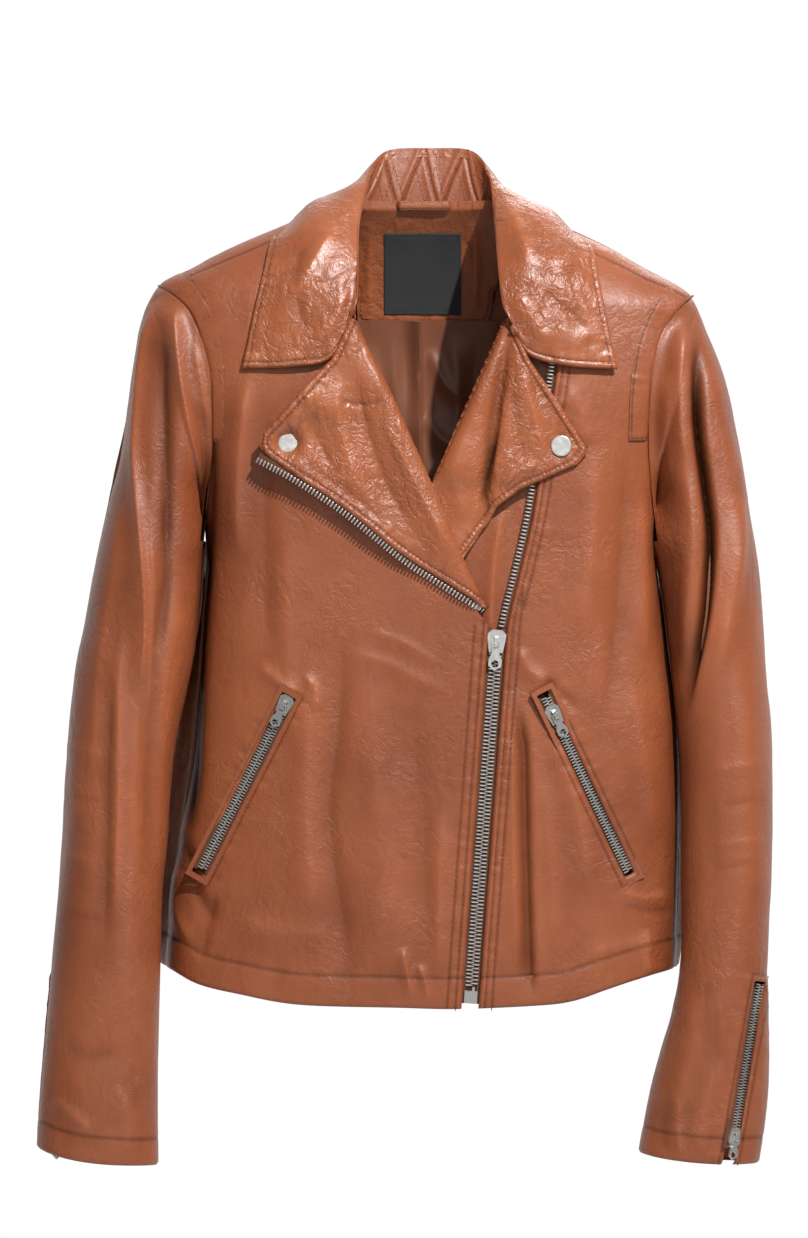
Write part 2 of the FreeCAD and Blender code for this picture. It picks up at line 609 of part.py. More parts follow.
# ---- main zip -----------------------------------------------------------------------
def make_main_zip():
    up, out = ZIP_TOP - ZIP_FOOT, V(0, -1, 0)
    length = up.Length
    tapes = [placed(s, ZIP_FOOT, up, out) for s in zip_tape(length)]
    rows = [placed(s, ZIP_FOOT, up, out) for s in zip_teeth(length, 12.0)]
    y = ZIP_TOP.y

    def along(offset_in, offset_out, half_thick, start):
        """A bar that follows the upper left line, between two offsets across it."""
        line = [(start.x, start.z)] + ZIP_UPPER_LINE
        inner = [(x + offset_in, z) for x, z in line]
        outer = [(x + offset_out, z) for x, z in reversed(line)]
        y0 = y - half_thick
        wire = Part.Wire([
            curve_edge(inner, y0),
            Part.makeLine(V(inner[-1][0], y0, inner[-1][1]), V(outer[0][0], y0, outer[0][1])),
            curve_edge(outer, y0),
            Part.makeLine(V(outer[-1][0], y0, outer[-1][1]), V(inner[0][0], y0, inner[0][1])),
        ])
        return Part.Face(wire).extrude(V(0, 2 * half_thick, 0))

    join = ZIP_TOP + V(0.4, 0, 0.2)
    upper = along(TOOTH_OUT, TAPE_HALF, TAPE_THICK / 2, join)
    upper = upper.cut(shell_layer(0, LEATHER).common(left_front_region()))
    save("main_zip_left_tape", tapes[1], max(upper.Solids, key=lambda s: s.Volume))
    save("main_zip_left_teeth", rows[1], along(TOOTH_IN, TOOTH_OUT, TOOTH_DEEP, join))
    save("main_zip_right_tape", tapes[0])
    save("main_zip_right_teeth", rows[0])
    retainer = box(-4.6, 4.6, -2.2, 2.2, 0.0, 9.0).cut(box(-20, 20, -0.5, 0.5, -1, 10))
    pin = box(TOOTH_IN, 2.6, -1.4, 1.4, 9.1, 11.9)
    save("main_zip_box", *[placed(s, ZIP_FOOT, up, out) for s in (retainer, pin)])
    save("main_zip_slider", placed(slider(), ZIP_TOP - V(up).normalize() * 10, up, out))
    save("main_zip_pull", placed(pull(), ZIP_TOP - V(up).normalize() * 10, up, out))


def main():
    os.makedirs("parts", exist_ok=True)
    holes = {side: pocket_hole(side) for side in POCKETS}
    neck = make_body(holes)
    make_wind_flap()
    make_shoulder_patches()
    make_hang_loop(make_collar(), neck)
    make_lapels()
    make_snaps()
    make_main_zip()
    for side in ("right", "left"):
        make_pocket(side)
        make_sleeve(side)
        make_cuff_zip(side)


main()
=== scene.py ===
"""Looks of the leather riding jacket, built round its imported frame.

Lengths in the tables are millimetres in the row frame: X towards the wearer's left,
Z up, front facing -Y, origin at the hang loop. Leather panels are fine grids on the
same cross-sections as the CAD shell, trimmed along their seams and then shaped by
folds, seams, edges and small wrinkles. Everything is turned into metres in make_mesh.
"""
import json
import math

import bpy
import numpy as np
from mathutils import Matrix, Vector


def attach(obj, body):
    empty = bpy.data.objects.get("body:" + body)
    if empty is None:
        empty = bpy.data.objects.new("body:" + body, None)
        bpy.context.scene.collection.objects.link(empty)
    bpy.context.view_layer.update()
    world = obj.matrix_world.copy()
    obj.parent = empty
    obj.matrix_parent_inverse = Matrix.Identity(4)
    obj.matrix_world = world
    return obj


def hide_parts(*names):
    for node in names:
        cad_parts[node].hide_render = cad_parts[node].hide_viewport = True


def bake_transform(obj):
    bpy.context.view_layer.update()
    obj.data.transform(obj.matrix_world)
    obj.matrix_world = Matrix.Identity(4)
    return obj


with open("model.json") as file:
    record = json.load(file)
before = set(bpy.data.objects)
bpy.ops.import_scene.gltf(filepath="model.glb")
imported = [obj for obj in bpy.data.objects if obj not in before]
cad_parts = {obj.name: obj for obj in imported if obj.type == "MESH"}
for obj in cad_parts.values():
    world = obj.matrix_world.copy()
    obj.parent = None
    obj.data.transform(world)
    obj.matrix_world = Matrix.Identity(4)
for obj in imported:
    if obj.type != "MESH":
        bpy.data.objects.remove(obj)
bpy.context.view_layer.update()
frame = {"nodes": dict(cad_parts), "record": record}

MM = 0.001
SIGN = {"right": -1, "left": 1}      # the way out along X

# ---- camera --------------------------------------------------------------------
camera = bpy.data.objects.new("camera", bpy.data.cameras.new("camera"))
bpy.context.collection.objects.link(camera)
camera.data.lens = 250
camera.data.clip_end = 100
camera.location = (-0.0144, -6.235, -0.2988)
camera.rotation_euler = (math.radians(90), 0, 0)
bpy.context.scene.camera = camera

# ---- cross-sections: height, right side, left side, half depth, squareness --------
BODY_MID_Y = -24.0
BODY_SECTIONS = [
    (3, -58, 58, 22, 2.2), (-16, -102, 100, 34, 2.3), (-33, -142, 136, 42, 2.4), (-47, -168, 160, 47, 2.6),
    (-57, -188, 178.5, 50, 2.8), (-69, -193, 194, 53, 3.0), (-90, -189, 191, 57, 3.2),
    (-125, -181, 185, 60, 3.5),
    (-175, -168, 173, 60, 3.7), (-240, -157, 165.5, 60, 3.5), (-300, -159, 171, 60, 3.2),
    (-350, -163, 177.5, 60, 3.0),
    (-400, -167, 182, 60, 2.8), (-450, -174, 183, 60, 2.7), (-520, -183, 182, 60, 2.6),
    (-590, -188, 179, 60, 2.6),
]
# Sleeves: height, outer side, inner side, middle, half depth.
SLEEVE_SECTIONS = {
    "right": [
        (-59, -190.8, -188, -24, 2), (-63, -193.6, -174, -24, 20), (-72, -198.2, -146, -24, 37),
        (-92, -202.5, -134, -25, 45), (-125, -209, -130, -26, 48), (-165, -215.5, -134, -28, 49),
        (-210, -225, -148, -30, 48), (-255, -235, -158.4, -32, 48), (-290, -241.5, -161, -34, 47),
        (-330, -248, -168, -37, 46), (-400, -255, -183, -42, 43), (-480, -261, -188.5, -47, 39),
        (-560, -268, -190.5, -52, 34), (-640, -275, -192, -56, 30), (-700, -279, -191, -59, 28),
    ],
    "left": [
        (-66, 192.4, 190, -24, 2), (-70, 195, 178, -24, 18), (-77, 198.4, 156, -24, 32),
        (-94, 204.6, 141, -25, 43),
        (-125, 214.8, 138, -26, 48), (-165, 224, 142, -28, 49), (-210, 230.5, 153, -30, 48),
        (-255, 239, 167, -32, 48), (-330, 246, 177.5, -37, 46), (-400, 250, 184.5, -42, 43),
        (-480, 249, 185, -47, 39), (-550, 246, 184, -52, 35), (-640, 246, 163, -56, 31),
        (-700, 238, 150, -59, 29),
    ],
}
HEM = [(-215, -540), (-186, -550), (-163, -561), (-132, -568), (-90, -575), (-20, -577), (22, -578),
       (76, -576),
       (105, -573), (130, -565), (152, -558), (180, -551), (215, -546)]
ARMHOLES = {
    "right": [(-191.5, -58), (-172, -73.5), (-163.5, -88), (-156.5, -108), (-153.2, -130), (-152.5, -180),
              (-160, -243)],
    "left": [(194, -65.5), (180.5, -78), (169, -96.7), (163.4, -125), (160.8, -165), (162.6, -195),
             (168, -243)],
}
CUFFS = {
    "right": [(-300, -668), (-268, -682), (-230, -689), (-170, -691)],
    "left": [(130, -674), (165, -684), (210, -689), (262, -689)],
}
# The main zip: its straight, closed part, and the line of the part above the slider.
ZIP_FOOT, ZIP_TOP = (33.0, -574.0), (52.5, -305.0)
ZIP_UPPER = [(52.9, -304.8), (55.5, -292), (64, -258), (72, -222), (80, -170), (88, -124), (92, -86)]
ROLL_TOP, ROLL_FOOT = (-46, -90), (45, -292)
CREASE_TOP, CREASE_FOOT = (60, -92), (43, -226)
# Pocket zips: foot and head. Cuff zips: head, foot and the way out.
POCKETS = {
    "right": ((-160, -59.5, -480), (-97, -81.5, -356)),
    "left": ((147, -66.5, -482), (86, -82.5, -354)),
}
CUFF_ZIPS = {
    "right": ((-259.5, -40, -560), (-262, -46, -680), (-0.78, 0.62, 0)),
    "left": ((240, -71, -560), (219.5, -85, -678), (0.62, -0.78, 0)),
}


# ---- numbers: noise, lines ---------------------------------------------------------
def lattice(i, j, k, seed):
    h = (i * 374761393 + j * 668265263 + k * 1274126177 + seed * 97463477) & 0xFFFFFFFF
    h = ((h ^ (h >> 13)) * 1274126177) & 0xFFFFFFFF
    return ((h ^ (h >> 16)) & 0xFFFF) / 32767.5 - 1.0


def noise(points, size, seed=0):
    """Smooth noise from -1 to 1 at 3-D points; size is one length or three."""
    q = np.asarray(points, float) / np.asarray(size, float)
    i = np.floor(q).astype(np.int64)
    f = q - i
    w = f * f * f * (f * (f * 6 - 15) + 10)
    total = 0.0
    for dx in (0, 1):
        wx = w[..., 0] if dx else 1 - w[..., 0]
        for dy in (0, 1):
            wy = w[..., 1] if dy else 1 - w[..., 1]
            for dz in (0, 1):
                wz = w[..., 2] if dz else 1 - w[..., 2]
                total = total + wx * wy * wz * lattice(i[..., 0] + dx, i[..., 1] + dy, i[..., 2] + dz, seed)
    return total


def smoothstep(x):
    x = np.clip(x, 0, 1)
    return x * x * (3 - 2 * x)


def spline(p, pieces):
    """A smooth line through points, with pieces(a, b) short runs between neighbours a and b."""
    ends = np.vstack([2 * p[0] - p[1], p, 2 * p[-1] - p[-2]])
    out = []
    for i in range(1, len(ends) - 2):
        a, b, c, d = ends[i - 1:i + 3]
        t = np.linspace(0, 1, pieces(b, c), endpoint=False)[:, None]
        square, cube = 2 * a - 5 * b + 4 * c - d, 3 * b - a - 3 * c + d
        out.append(0.5 * (2 * b + (c - a) * t + square * t ** 2 + cube * t ** 3))
    return np.vstack(out + [p[-1:]])


def lengths_along(p):
    """How far along a line each of its points lies."""
    return np.concatenate([[0], np.cumsum(np.linalg.norm(np.diff(p, axis=0), axis=1))])


def at_lengths(t, s, p):
    """Points at lengths t along a line p whose own points lie at lengths s."""
    return np.stack([np.interp(t, s, p[:, k]) for k in range(p.shape[1])], axis=1)


def curve(points, step=2.0):
    """A smooth line through points, as points about step apart."""
    p = np.asarray(points, float)
    if len(p) > 2:
        p = spline(p, lambda a, b: max(2, int(np.linalg.norm(b - a) / step)))
    s = lengths_along(p)
    count = max(2, int(s[-1] / step) + 1)
    return at_lengths(np.linspace(0, s[-1], count), s, p)


def polyline(points, step=2.0):
    """Straight runs through points, cut into pieces about step long."""
    p = np.asarray(points, float)
    return np.vstack([curve(p[i:i + 2], step)[: None if i == len(p) - 2 else -1] for i in range(len(p) - 1)])


def trace(points, smooth):
    """A line in front view, smooth or straight between its points."""
    return curve(points, 2.0) if smooth else polyline(points, 2.0)


def fade_ends(along, line, taper):
    """1 along a line, falling to 0 over a share of its length at both ends."""
    if not taper:
        return 1.0
    total = np.linalg.norm(np.diff(line, axis=0), axis=1).sum()
    return smoothstep(along / (taper * total)) * smoothstep((total - along) / (taper * total))


def nearest(line, x, z, reach=1e9):
    """For each (x, z): distance to the line (positive on its left), length along it, nearest point."""
    n = len(x)
    dist, along = np.full(n, reach * 1.0), np.zeros(n)
    point = np.stack([x, z], axis=1)
    lo, hi = line.min(0) - reach, line.max(0) + reach
    idx = np.nonzero((x > lo[0]) & (x < hi[0]) & (z > lo[1]) & (z < hi[1]))[0]
    a, b = line[:-1], line[1:]
    d = b - a
    length = np.maximum((d ** 2).sum(1), 1e-9)
    start = np.concatenate([[0], np.cumsum(np.sqrt(length))])[:-1]
    for chunk in np.array_split(idx, max(1, len(idx) * len(a) // 3000000 + 1)):
        if not len(chunk):
            continue
        p = np.stack([x[chunk], z[chunk]], axis=1)[:, None, :]
        t = np.clip(((p - a) * d).sum(2) / length, 0, 1)
        q = a + t[..., None] * d
        r2 = ((p - q) ** 2).sum(2)
        k = r2.argmin(1)
        rows = np.arange(len(chunk))
        q, t, r = q[rows, k], t[rows, k], np.sqrt(r2[rows, k])
        side = np.sign(d[k, 0] * (z[chunk] - a[k, 1]) - d[k, 1] * (x[chunk] - a[k, 0]))
        near = r < reach
        keep = chunk[near]
        dist[keep] = (r * np.where(side == 0, 1, side))[near]
        along[keep] = (start[k] + t * np.sqrt(length[k]))[near]
        point[keep] = q[near]
    return dist, along, point


def inside(polygon, x, z):
    """Which points are inside a closed outline."""
    hit = np.zeros(len(x), bool)
    for (x0, z0), (x1, z1) in zip(polygon, np.roll(polygon, -1, axis=0)):
        if z0 == z1:
            continue
        cross = ((z0 > z) != (z1 > z)) & (x < (x1 - x0) * (z - z0) / (z1 - z0) + x0)
        hit ^= cross
    return hit


# ---- surfaces ------------------------------------------------------------------------
def by_height(table, zs):
    """Each column of a table of cross-sections at every height, smoothly."""
    table = np.asarray(sorted(table), float)
    h = table[:, 0]
    out = []
    for k in range(1, table.shape[1]):
        v = table[:, k]
        slope = np.gradient(v, h)
        i = np.clip(np.searchsorted(h, zs) - 1, 0, len(h) - 2)
        w = h[i + 1] - h[i]
        t = np.clip((zs - h[i]) / w, 0, 1)
        a, b = v[i], v[i + 1]
        out.append((2 * t ** 3 - 3 * t ** 2 + 1) * a + (t ** 3 - 2 * t ** 2 + t) * w * slope[i]
                   + (-2 * t ** 3 + 3 * t ** 2) * b + (t ** 3 - t ** 2) * w * slope[i + 1])
    return out


def tube(zs, x0, x1, y_mid, depth, power, columns, start, end):
    """Grid of points on a tube: one row per height, columns evenly spaced from angle start to end."""
    t = np.linspace(start, end, 500)
    grid = np.zeros((len(zs), columns, 3))
    c, s = np.cos(t), np.sin(t)
    for r, z in enumerate(zs):
        e = 2 / power[r]
        x = (x0[r] + x1[r]) / 2 + abs(x1[r] - x0[r]) / 2 * np.sign(c) * np.abs(c) ** e
        y = y_mid[r] + depth[r] * np.sign(s) * np.abs(s) ** e
        length = np.concatenate([[0], np.cumsum(np.hypot(np.diff(x), np.diff(y)))])
        at = np.linspace(0, length[-1], columns)
        grid[r, :, 0] = np.interp(at, length, x)
        grid[r, :, 1] = np.interp(at, length, y)
        grid[r, :, 2] = z
    return grid


def bell(d, width):
    """1 at d = 0, falling to 0 over a few widths."""
    return np.exp(-(d / width) ** 2)


def normals(grid):
    """Unit normals at the points of a grid."""
    du = np.gradient(grid, axis=1)
    dv = np.gradient(grid, axis=0)
    n = np.cross(dv, du)
    return n / np.maximum(np.linalg.norm(n, axis=2, keepdims=True), 1e-9)


class Sheet:
    """A grid of leather or cloth that is trimmed, shaped and turned into a mesh."""

    def __init__(self, grid, outward, offset=0.0):
        self.rows, self.cols = grid.shape[:2]
        n = normals(grid)
        flip = np.dot(n[self.rows // 2, self.cols // 2], outward) < 0
        if flip:
            n = -n
        self.p = (grid + n * offset).reshape(-1, 3)
        self.n = n.reshape(-1, 3)
        i = np.arange(self.rows * self.cols).reshape(self.rows, self.cols)
        quads = np.stack([i[:-1, :-1], i[1:, :-1], i[1:, 1:], i[:-1, 1:]], axis=-1).reshape(-1, 4)
        self.faces = quads[:, ::-1] if flip else quads
        self.face_count = np.bincount(quads.ravel(), minlength=len(self.p))
        self.lift = np.zeros(len(self.p))
        self.shade = np.zeros(len(self.p))

    @property
    def x(self):
        return self.p[:, 0]

    @property
    def z(self):
        return self.p[:, 2]

    def move_to(self, index, target):
        """Slides points along the surface to (x, z) targets."""
        n = self.n[index]
        d = target - self.p[index][:, [0, 2]]
        ny = np.where(np.abs(n[:, 1]) < 0.35, np.sign(n[:, 1] + 1e-9) * 0.35, n[:, 1])
        self.p[index, 1] -= np.clip((n[:, 0] * d[:, 0] + n[:, 2] * d[:, 1]) / ny, -4, 4)
        self.p[index, 0], self.p[index, 2] = target[:, 0], target[:, 1]

    def trim(self, outline, keep_inside=True, cell=1.6):
        """Cuts the sheet along a closed outline in front view."""
        outline = np.asarray(outline, float)
        closed = np.vstack([outline, outline[:1]])
        hit = inside(outline, self.x, self.z)
        keep = hit if keep_inside else ~hit
        share = keep[self.faces].sum(1)
        centre = self.p[self.faces].mean(1)
        middle = inside(outline, centre[:, 0], centre[:, 2])
        stay = (middle if keep_inside else ~middle) | (share == 4)
        self.faces = self.faces[stay]
        count = np.bincount(self.faces.ravel(), minlength=len(self.p))
        index = np.nonzero((count > 0) & (~keep | self.on_cut(count)))[0]
        if len(index):
            d, _, q = nearest(closed, self.x[index], self.z[index], reach=cell * 2.2)
            close = np.abs(d) < cell * 2.0
            self.move_to(index[close], q[close])
        return self

    def on_cut(self, count):
        """Points that have just lost some of their faces; count is how many each has left."""
        cut = (count < self.face_count) & (count > 0)
        self.face_count = np.minimum(self.face_count, count)
        return cut

    def ridge(self, line, height, left, right=None, taper=0.25, dark=0.0, crest=1.6):
        """A fold along a line: height in mm, width on its left and right, fading at both ends; dark paints
        shade along it when negative and a highlight when positive.
        """
        right = left if right is None else right
        line = curve(line, 3.0)
        reach = 3 * max(left, right)
        d, s, _ = nearest(line, self.x, self.z, reach)
        w = np.where(d > 0, left, right)
        g = np.exp(-np.abs(d / w) ** crest) * (np.abs(d) < reach * 0.999) * fade_ends(s, line, taper)
        self.lift += 1.3 * height * g
        # painted shade along the fold where dark is negative, painted highlight where it is positive
        self.shade += dark * g
        return self

    def step(self, line, height, width, fade, taper=0.2):
        """The left of the line stands height higher, over width, fading out over fade."""
        line = curve(line, 3.0)
        d, s, _ = nearest(line, self.x, self.z, fade * 2.5)
        near = np.abs(d) < fade * 2.49
        g = np.tanh(d / width) * np.exp(-(d / fade) ** 2) * near * fade_ends(s, line, taper)
        self.lift += height * 0.5 * g
        return self

    def seam(self, line, groove=0.55, width=0.9, pucker=0.22, pitch=6.5, spread=7.0, seed=1, smooth=True):
        """A sewn seam: a groove, with small puckers across it and painted shade along the groove."""
        d, s, _ = nearest(trace(line, smooth), self.x, self.z, 4 * spread)
        close = np.abs(d) < 4 * spread * 0.999
        wave = noise(np.stack([s, d * 0.25, np.zeros_like(s)], axis=1), (pitch, 9.0, 1.0), seed)
        puckers = pucker * wave * np.exp(-(np.abs(d) / spread) ** 1.5)
        self.lift += close * (-groove * np.exp(-(d / width) ** 2) + puckers)
        # painted shade in the groove
        self.shade -= close * 0.5 * np.exp(-(d / width) ** 2)
        return self

    def edge(self, line, smooth=True, **shape):
        """A turned edge along a line in front view."""
        d, s, _ = nearest(trace(line, smooth), self.x, self.z, 26.0)
        return self.edge_at(np.abs(d), s, **shape)

    def edge_at(self, d, s, stitch=4.6, roll=1.4, puff=0.35, pucker=0.25, pitch=4.2, seed=2, reach=26.0,
                ribs=0.0):
        """A turned edge: rolled off, and puffed up to its stitching. d is the way to it, s along it."""
        close = d < reach * 0.999
        wave = noise(np.stack([s, d * 0.12, np.zeros_like(s)], axis=1), (pitch, 4.0, 1.0), seed)
        lift = -roll * bell(d, 1.0) - 0.5 * np.exp(-((d - stitch) / 0.75) ** 2)
        lift += puff * np.sin(np.pi * np.clip(d / stitch, 0, 1)) + 0.3 * puff * bell(d - stitch * 2, 3.5)
        lift += pucker * wave * (bell(d - stitch, 3.8) + 0.5 * bell(d - stitch - 5, 6.0))
        rib = np.cos(2 * math.pi * (s / 3.3 + 0.35 * wave)) * smoothstep((d - 0.6) / 1.2)
        lift += ribs * rib * smoothstep((stitch + 2.5 - d) / 2.5)
        self.lift += close * lift
        # painted shade along the stitching groove
        self.shade -= close * 0.45 * np.exp(-((d - stitch) / 0.8) ** 2)
        return self

    def crumple(self, broad=0.9, fine=0.16, seed=5, stretch=(1.0, 1.0, 1.6), mask_size=70.0, creases=0.3):
        """Soft undulation of the leather, with patches of finer wrinkles and painted shade in its creases."""
        p = self.p
        s = np.asarray(stretch)
        warp = np.stack([noise(p, 38, seed + k) for k in range(3)], axis=1) * 14
        soft = noise(p + warp, 62 * s, seed + 3) * 0.65 + noise(p + warp, 30 * s, seed + 4) * 0.35
        self.lift += broad * soft
        patch = smoothstep(0.5 + 1.3 * noise(p, mask_size, seed + 5))
        w2 = np.stack([noise(p, 16, seed + 6 + k) for k in range(3)], axis=1) * 7
        small = noise(p + w2, 9 * s, seed + 9) * 0.6 + noise(p + w2, 5 * s, seed + 10) * 0.4
        self.lift += fine * (0.35 + 0.65 * patch) * small
        long = np.asarray((1.0, 1.0, 2.6))
        line = noise(p + w2 * 1.2, 13 * s * long, seed + 11)
        crack = bell(line, 0.13) * patch
        self.lift -= creases * (crack - 0.25 * patch)
        fine_line = noise(p + w2, 4.6 * s * long, seed + 12)
        self.lift += 0.42 * creases * patch * fine_line
        # painted shade in the creases
        self.shade -= 0.3 * crack * creases
        return self


def make_mesh(name, points, faces, material, smooth=True, attributes=None, sharp=None):
    """A mesh object from points in millimetres."""
    mesh = bpy.data.meshes.new(name)
    mesh.from_pydata((np.asarray(points) * MM).tolist(), [], [list(map(int, f)) for f in faces])
    for key, values in (attributes or {}).items():
        mesh.attributes.new(key, "FLOAT", "POINT").data.foreach_set("value", np.asarray(values, np.float32))
    mesh.validate()
    mesh.materials.append(material)
    if smooth:
        mesh.shade_smooth()
    obj = bpy.data.objects.new(name, mesh)
    bpy.context.collection.objects.link(obj)
    if sharp is not None:
        mesh.set_sharp_from_angle(angle=math.radians(sharp))
    return obj


def hollows(sheet, radius):
    """How far each point stands above its surroundings."""
    out = sheet.lift.reshape(sheet.rows, sheet.cols)
    for axis in (0, 1):
        r = min(radius, out.shape[axis] // 2 - 1)
        wide = np.pad(out, [(r + 1, r) if k == axis else (0, 0) for k in (0, 1)], mode="edge").cumsum(axis)
        n = out.shape[axis]
        out = (np.take(wide, range(2 * r + 1, 2 * r + 1 + n), axis) - np.take(wide, range(n),
                                                                              axis)) / (2 * r + 1)
    return sheet.lift - out.ravel()


def finish_sheet(sheet, name, material, thickness):
    """Turns a sheet into a closed mesh of that thickness, its back smoother than its face."""
    # painted shade in the hollows and painted highlight on the crests, from how far each point stands above
    # its surroundings
    sheet.shade += np.clip(0.15 * hollows(sheet, 12), -0.34, 0.2)
    used = np.unique(sheet.faces)
    remap = np.full(len(sheet.p), -1)
    remap[used] = np.arange(len(used))
    faces = remap[sheet.faces]
    front = (sheet.p + sheet.n * sheet.lift[:, None])[used]
    back = (sheet.p + sheet.n * (np.minimum(sheet.lift, 0.6 * sheet.lift)[:, None] - thickness))[used]
    n = len(used)
    edges = np.concatenate([faces[:, [k, (k + 1) % 4]] for k in range(4)])
    key = np.sort(edges, axis=1)
    _, first, count = np.unique(key[:, 0] * (n + 1) + key[:, 1], return_index=True, return_counts=True)
    rim = edges[first[count == 1]]
    walls = np.stack([rim[:, 1], rim[:, 0], rim[:, 0] + n, rim[:, 1] + n], axis=1)
    every = np.vstack([faces, faces[:, ::-1] + n, walls])
    shade = sheet.shade[used]
    return make_mesh(name, np.vstack([front, back]), every, material,
                     attributes={"shade": np.concatenate([shade, shade])}, sharp=62)


# ---- materials -------------------------------------------------------------------------
def material(name):
    """A new material, with its nodes, links and main shader."""
    m = bpy.data.materials.new(name)
    m.use_nodes = True
    nodes = m.node_tree.nodes
    bsdf = nodes["Principled BSDF"]
    return m, nodes, m.node_tree.links, bsdf


def node(nodes, kind, **values):
    """A shader node with its settings and input values."""
    n = nodes.new("ShaderNode" + kind)
    for key, value in values.items():
        if key in n.inputs:
            n.inputs[key].default_value = value
        else:
            setattr(n, key, value)
    return n


def ramp(nodes, stops):
    """A colour ramp with these stops."""
    r = nodes.new("ShaderNodeValToRGB")
    while len(r.color_ramp.elements) < len(stops):
        r.color_ramp.elements.new(0.5)
    for element, (at, colour) in zip(r.color_ramp.elements, stops):
        element.position = at
        element.color = (*colour, 1)
    return r


def texture(nodes, links, kind, where, **values):
    """A texture node laid over the object."""
    n = node(nodes, "Tex" + kind, **values)
    links.new(where, n.inputs["Vector"])
    return n


def remap(nodes, links, source, old, new, **values):
    """A value stretched from one range to another."""
    n = node(nodes, "MapRange", **values)
    n.inputs["From Min"].default_value, n.inputs["From Max"].default_value = old
    n.inputs["To Min"].default_value, n.inputs["To Max"].default_value = new
    links.new(source, n.inputs["Value"])
    return n.outputs["Result"]


def math_node(nodes, links, operation, *values, **settings):
    """A Math node; each value is a number or another node's output."""
    n = node(nodes, "Math", operation=operation, **settings)
    for socket, value in zip(n.inputs, values):
        if isinstance(value, float):
            socket.default_value = value
        else:
            links.new(value, socket)
    return n.outputs[0]


def bump_chain(nodes, links, *layers):
    """Bumps on top of each other, each from its source, depth in metres and strength."""
    normal = None
    for source, distance, strength in layers:
        bump = node(nodes, "Bump", Strength=strength, Distance=distance)
        links.new(source, bump.inputs["Height"])
        if normal:
            links.new(normal, bump.inputs["Normal"])
        normal = bump.outputs["Normal"]
    return normal


def coloured(nodes, links, source, *stops):
    """Colours run along a value."""
    tone = ramp(nodes, stops)
    links.new(source, tone.inputs["Fac"])
    return tone.outputs["Color"]


def leather_material(name, dark, mid, light, rough=0.40, crease=1.0):
    """Soft, lightly polished leather: uneven dye, fine pores, small creases; the painted shade and highlight
    of its 'shade' attribute darken or lighten its colour and dim its gloss.
    """
    m, nodes, links, bsdf = material(name)
    where = node(nodes, "TexCoord").outputs["Object"]
    dye = texture(nodes, links, "Noise", where, Scale=9.0, Detail=6.0, Roughness=0.62)
    tone = coloured(nodes, links, dye.outputs["Fac"], (0.30, dark), (0.52, mid), (0.74, light))
    # painted shade and highlight: the shade attribute scales the base colour from 0.08 to 1.4 times
    shade = node(nodes, "Attribute", attribute_name="shade")
    painted_light_factor = remap(nodes, links, shade.outputs["Fac"], (-1.2, 0.8), (0.08, 1.4))
    painted_shade_mix = node(nodes, "Mix", data_type="RGBA", blend_type="MULTIPLY")
    painted_shade_mix.inputs["Factor"].default_value = 1.0
    painted_shade_grey = nodes.new("ShaderNodeCombineColor")
    for channel in ("Red", "Green", "Blue"):
        links.new(painted_light_factor, painted_shade_grey.inputs[channel])
    links.new(tone, painted_shade_mix.inputs["A"])
    links.new(painted_shade_grey.outputs["Color"], painted_shade_mix.inputs["B"])
    links.new(painted_shade_mix.outputs["Result"], bsdf.inputs["Base Color"])

    pores = texture(nodes, links, "Voronoi", where, Scale=1500.0, Randomness=1.0)
    small = texture(nodes, links, "Noise", where, Scale=420.0, Detail=3.0, Roughness=0.6)
    lines = texture(nodes, links, "Noise", where, Scale=105.0, Detail=4.0, Roughness=0.55, Distortion=0.7)
    valley = math_node(nodes, links, "SUBTRACT", lines.outputs["Fac"], 0.5)
    fold = math_node(nodes, links, "ABSOLUTE", valley)
    tight = math_node(nodes, links, "POWER", fold, 0.55)
    patch = texture(nodes, links, "Noise", where, Scale=22.0, Detail=2.0)
    where_creased = remap(nodes, links, patch.outputs["Fac"], (0.38, 0.66), (0.10, 1.0))
    creases = math_node(nodes, links, "MULTIPLY", tight, where_creased)
    normal = bump_chain(nodes, links, (creases, 0.0011 * crease, 0.8), (small.outputs["Fac"], 0.00030, 0.7),
                        (pores.outputs["Distance"], 0.00012, 0.6))
    links.new(normal, bsdf.inputs["Normal"])

    gloss = remap(nodes, links, small.outputs["Fac"], (0.3, 0.7), (rough - 0.06, rough + 0.10))
    links.new(gloss, bsdf.inputs["Roughness"])
    # painted shade also dims the specular level where it lies
    painted_shade_gloss = math_node(nodes, links, "MULTIPLY", painted_light_factor, 0.52, use_clamp=True)
    links.new(painted_shade_gloss, bsdf.inputs["Specular IOR Level"])
    bsdf.inputs["Coat Weight"].default_value = 0.05
    bsdf.inputs["Coat Roughness"].default_value = 0.28
    return m


def cloth_material(name, colour, light, rough, weave=2600.0, depth=0.00012, sheen=0.0):
    """Woven cloth: slightly blotchy, with its warp and weft."""
    m, nodes, links, bsdf = material(name)
    where = node(nodes, "TexCoord").outputs["Object"]
    blotch = texture(nodes, links, "Noise", where, Scale=14.0, Detail=3.0)
    tone = coloured(nodes, links, blotch.outputs["Fac"], (0.3, colour), (0.75, light))
    links.new(tone, bsdf.inputs["Base Color"])
    warp, weft = (texture(nodes, links, "Wave", where, Scale=weave / 6.283, wave_type="BANDS",
                          bands_direction=way)
                  for way in "XZ")
    both = math_node(nodes, links, "ADD", warp.outputs["Fac"], weft.outputs["Fac"])
    links.new(bump_chain(nodes, links, (both, depth, 0.5)), bsdf.inputs["Normal"])
    bsdf.inputs["Roughness"].default_value = rough
    bsdf.inputs["Specular IOR Level"].default_value = 0.35
    bsdf.inputs["Sheen Weight"].default_value = sheen
    return m


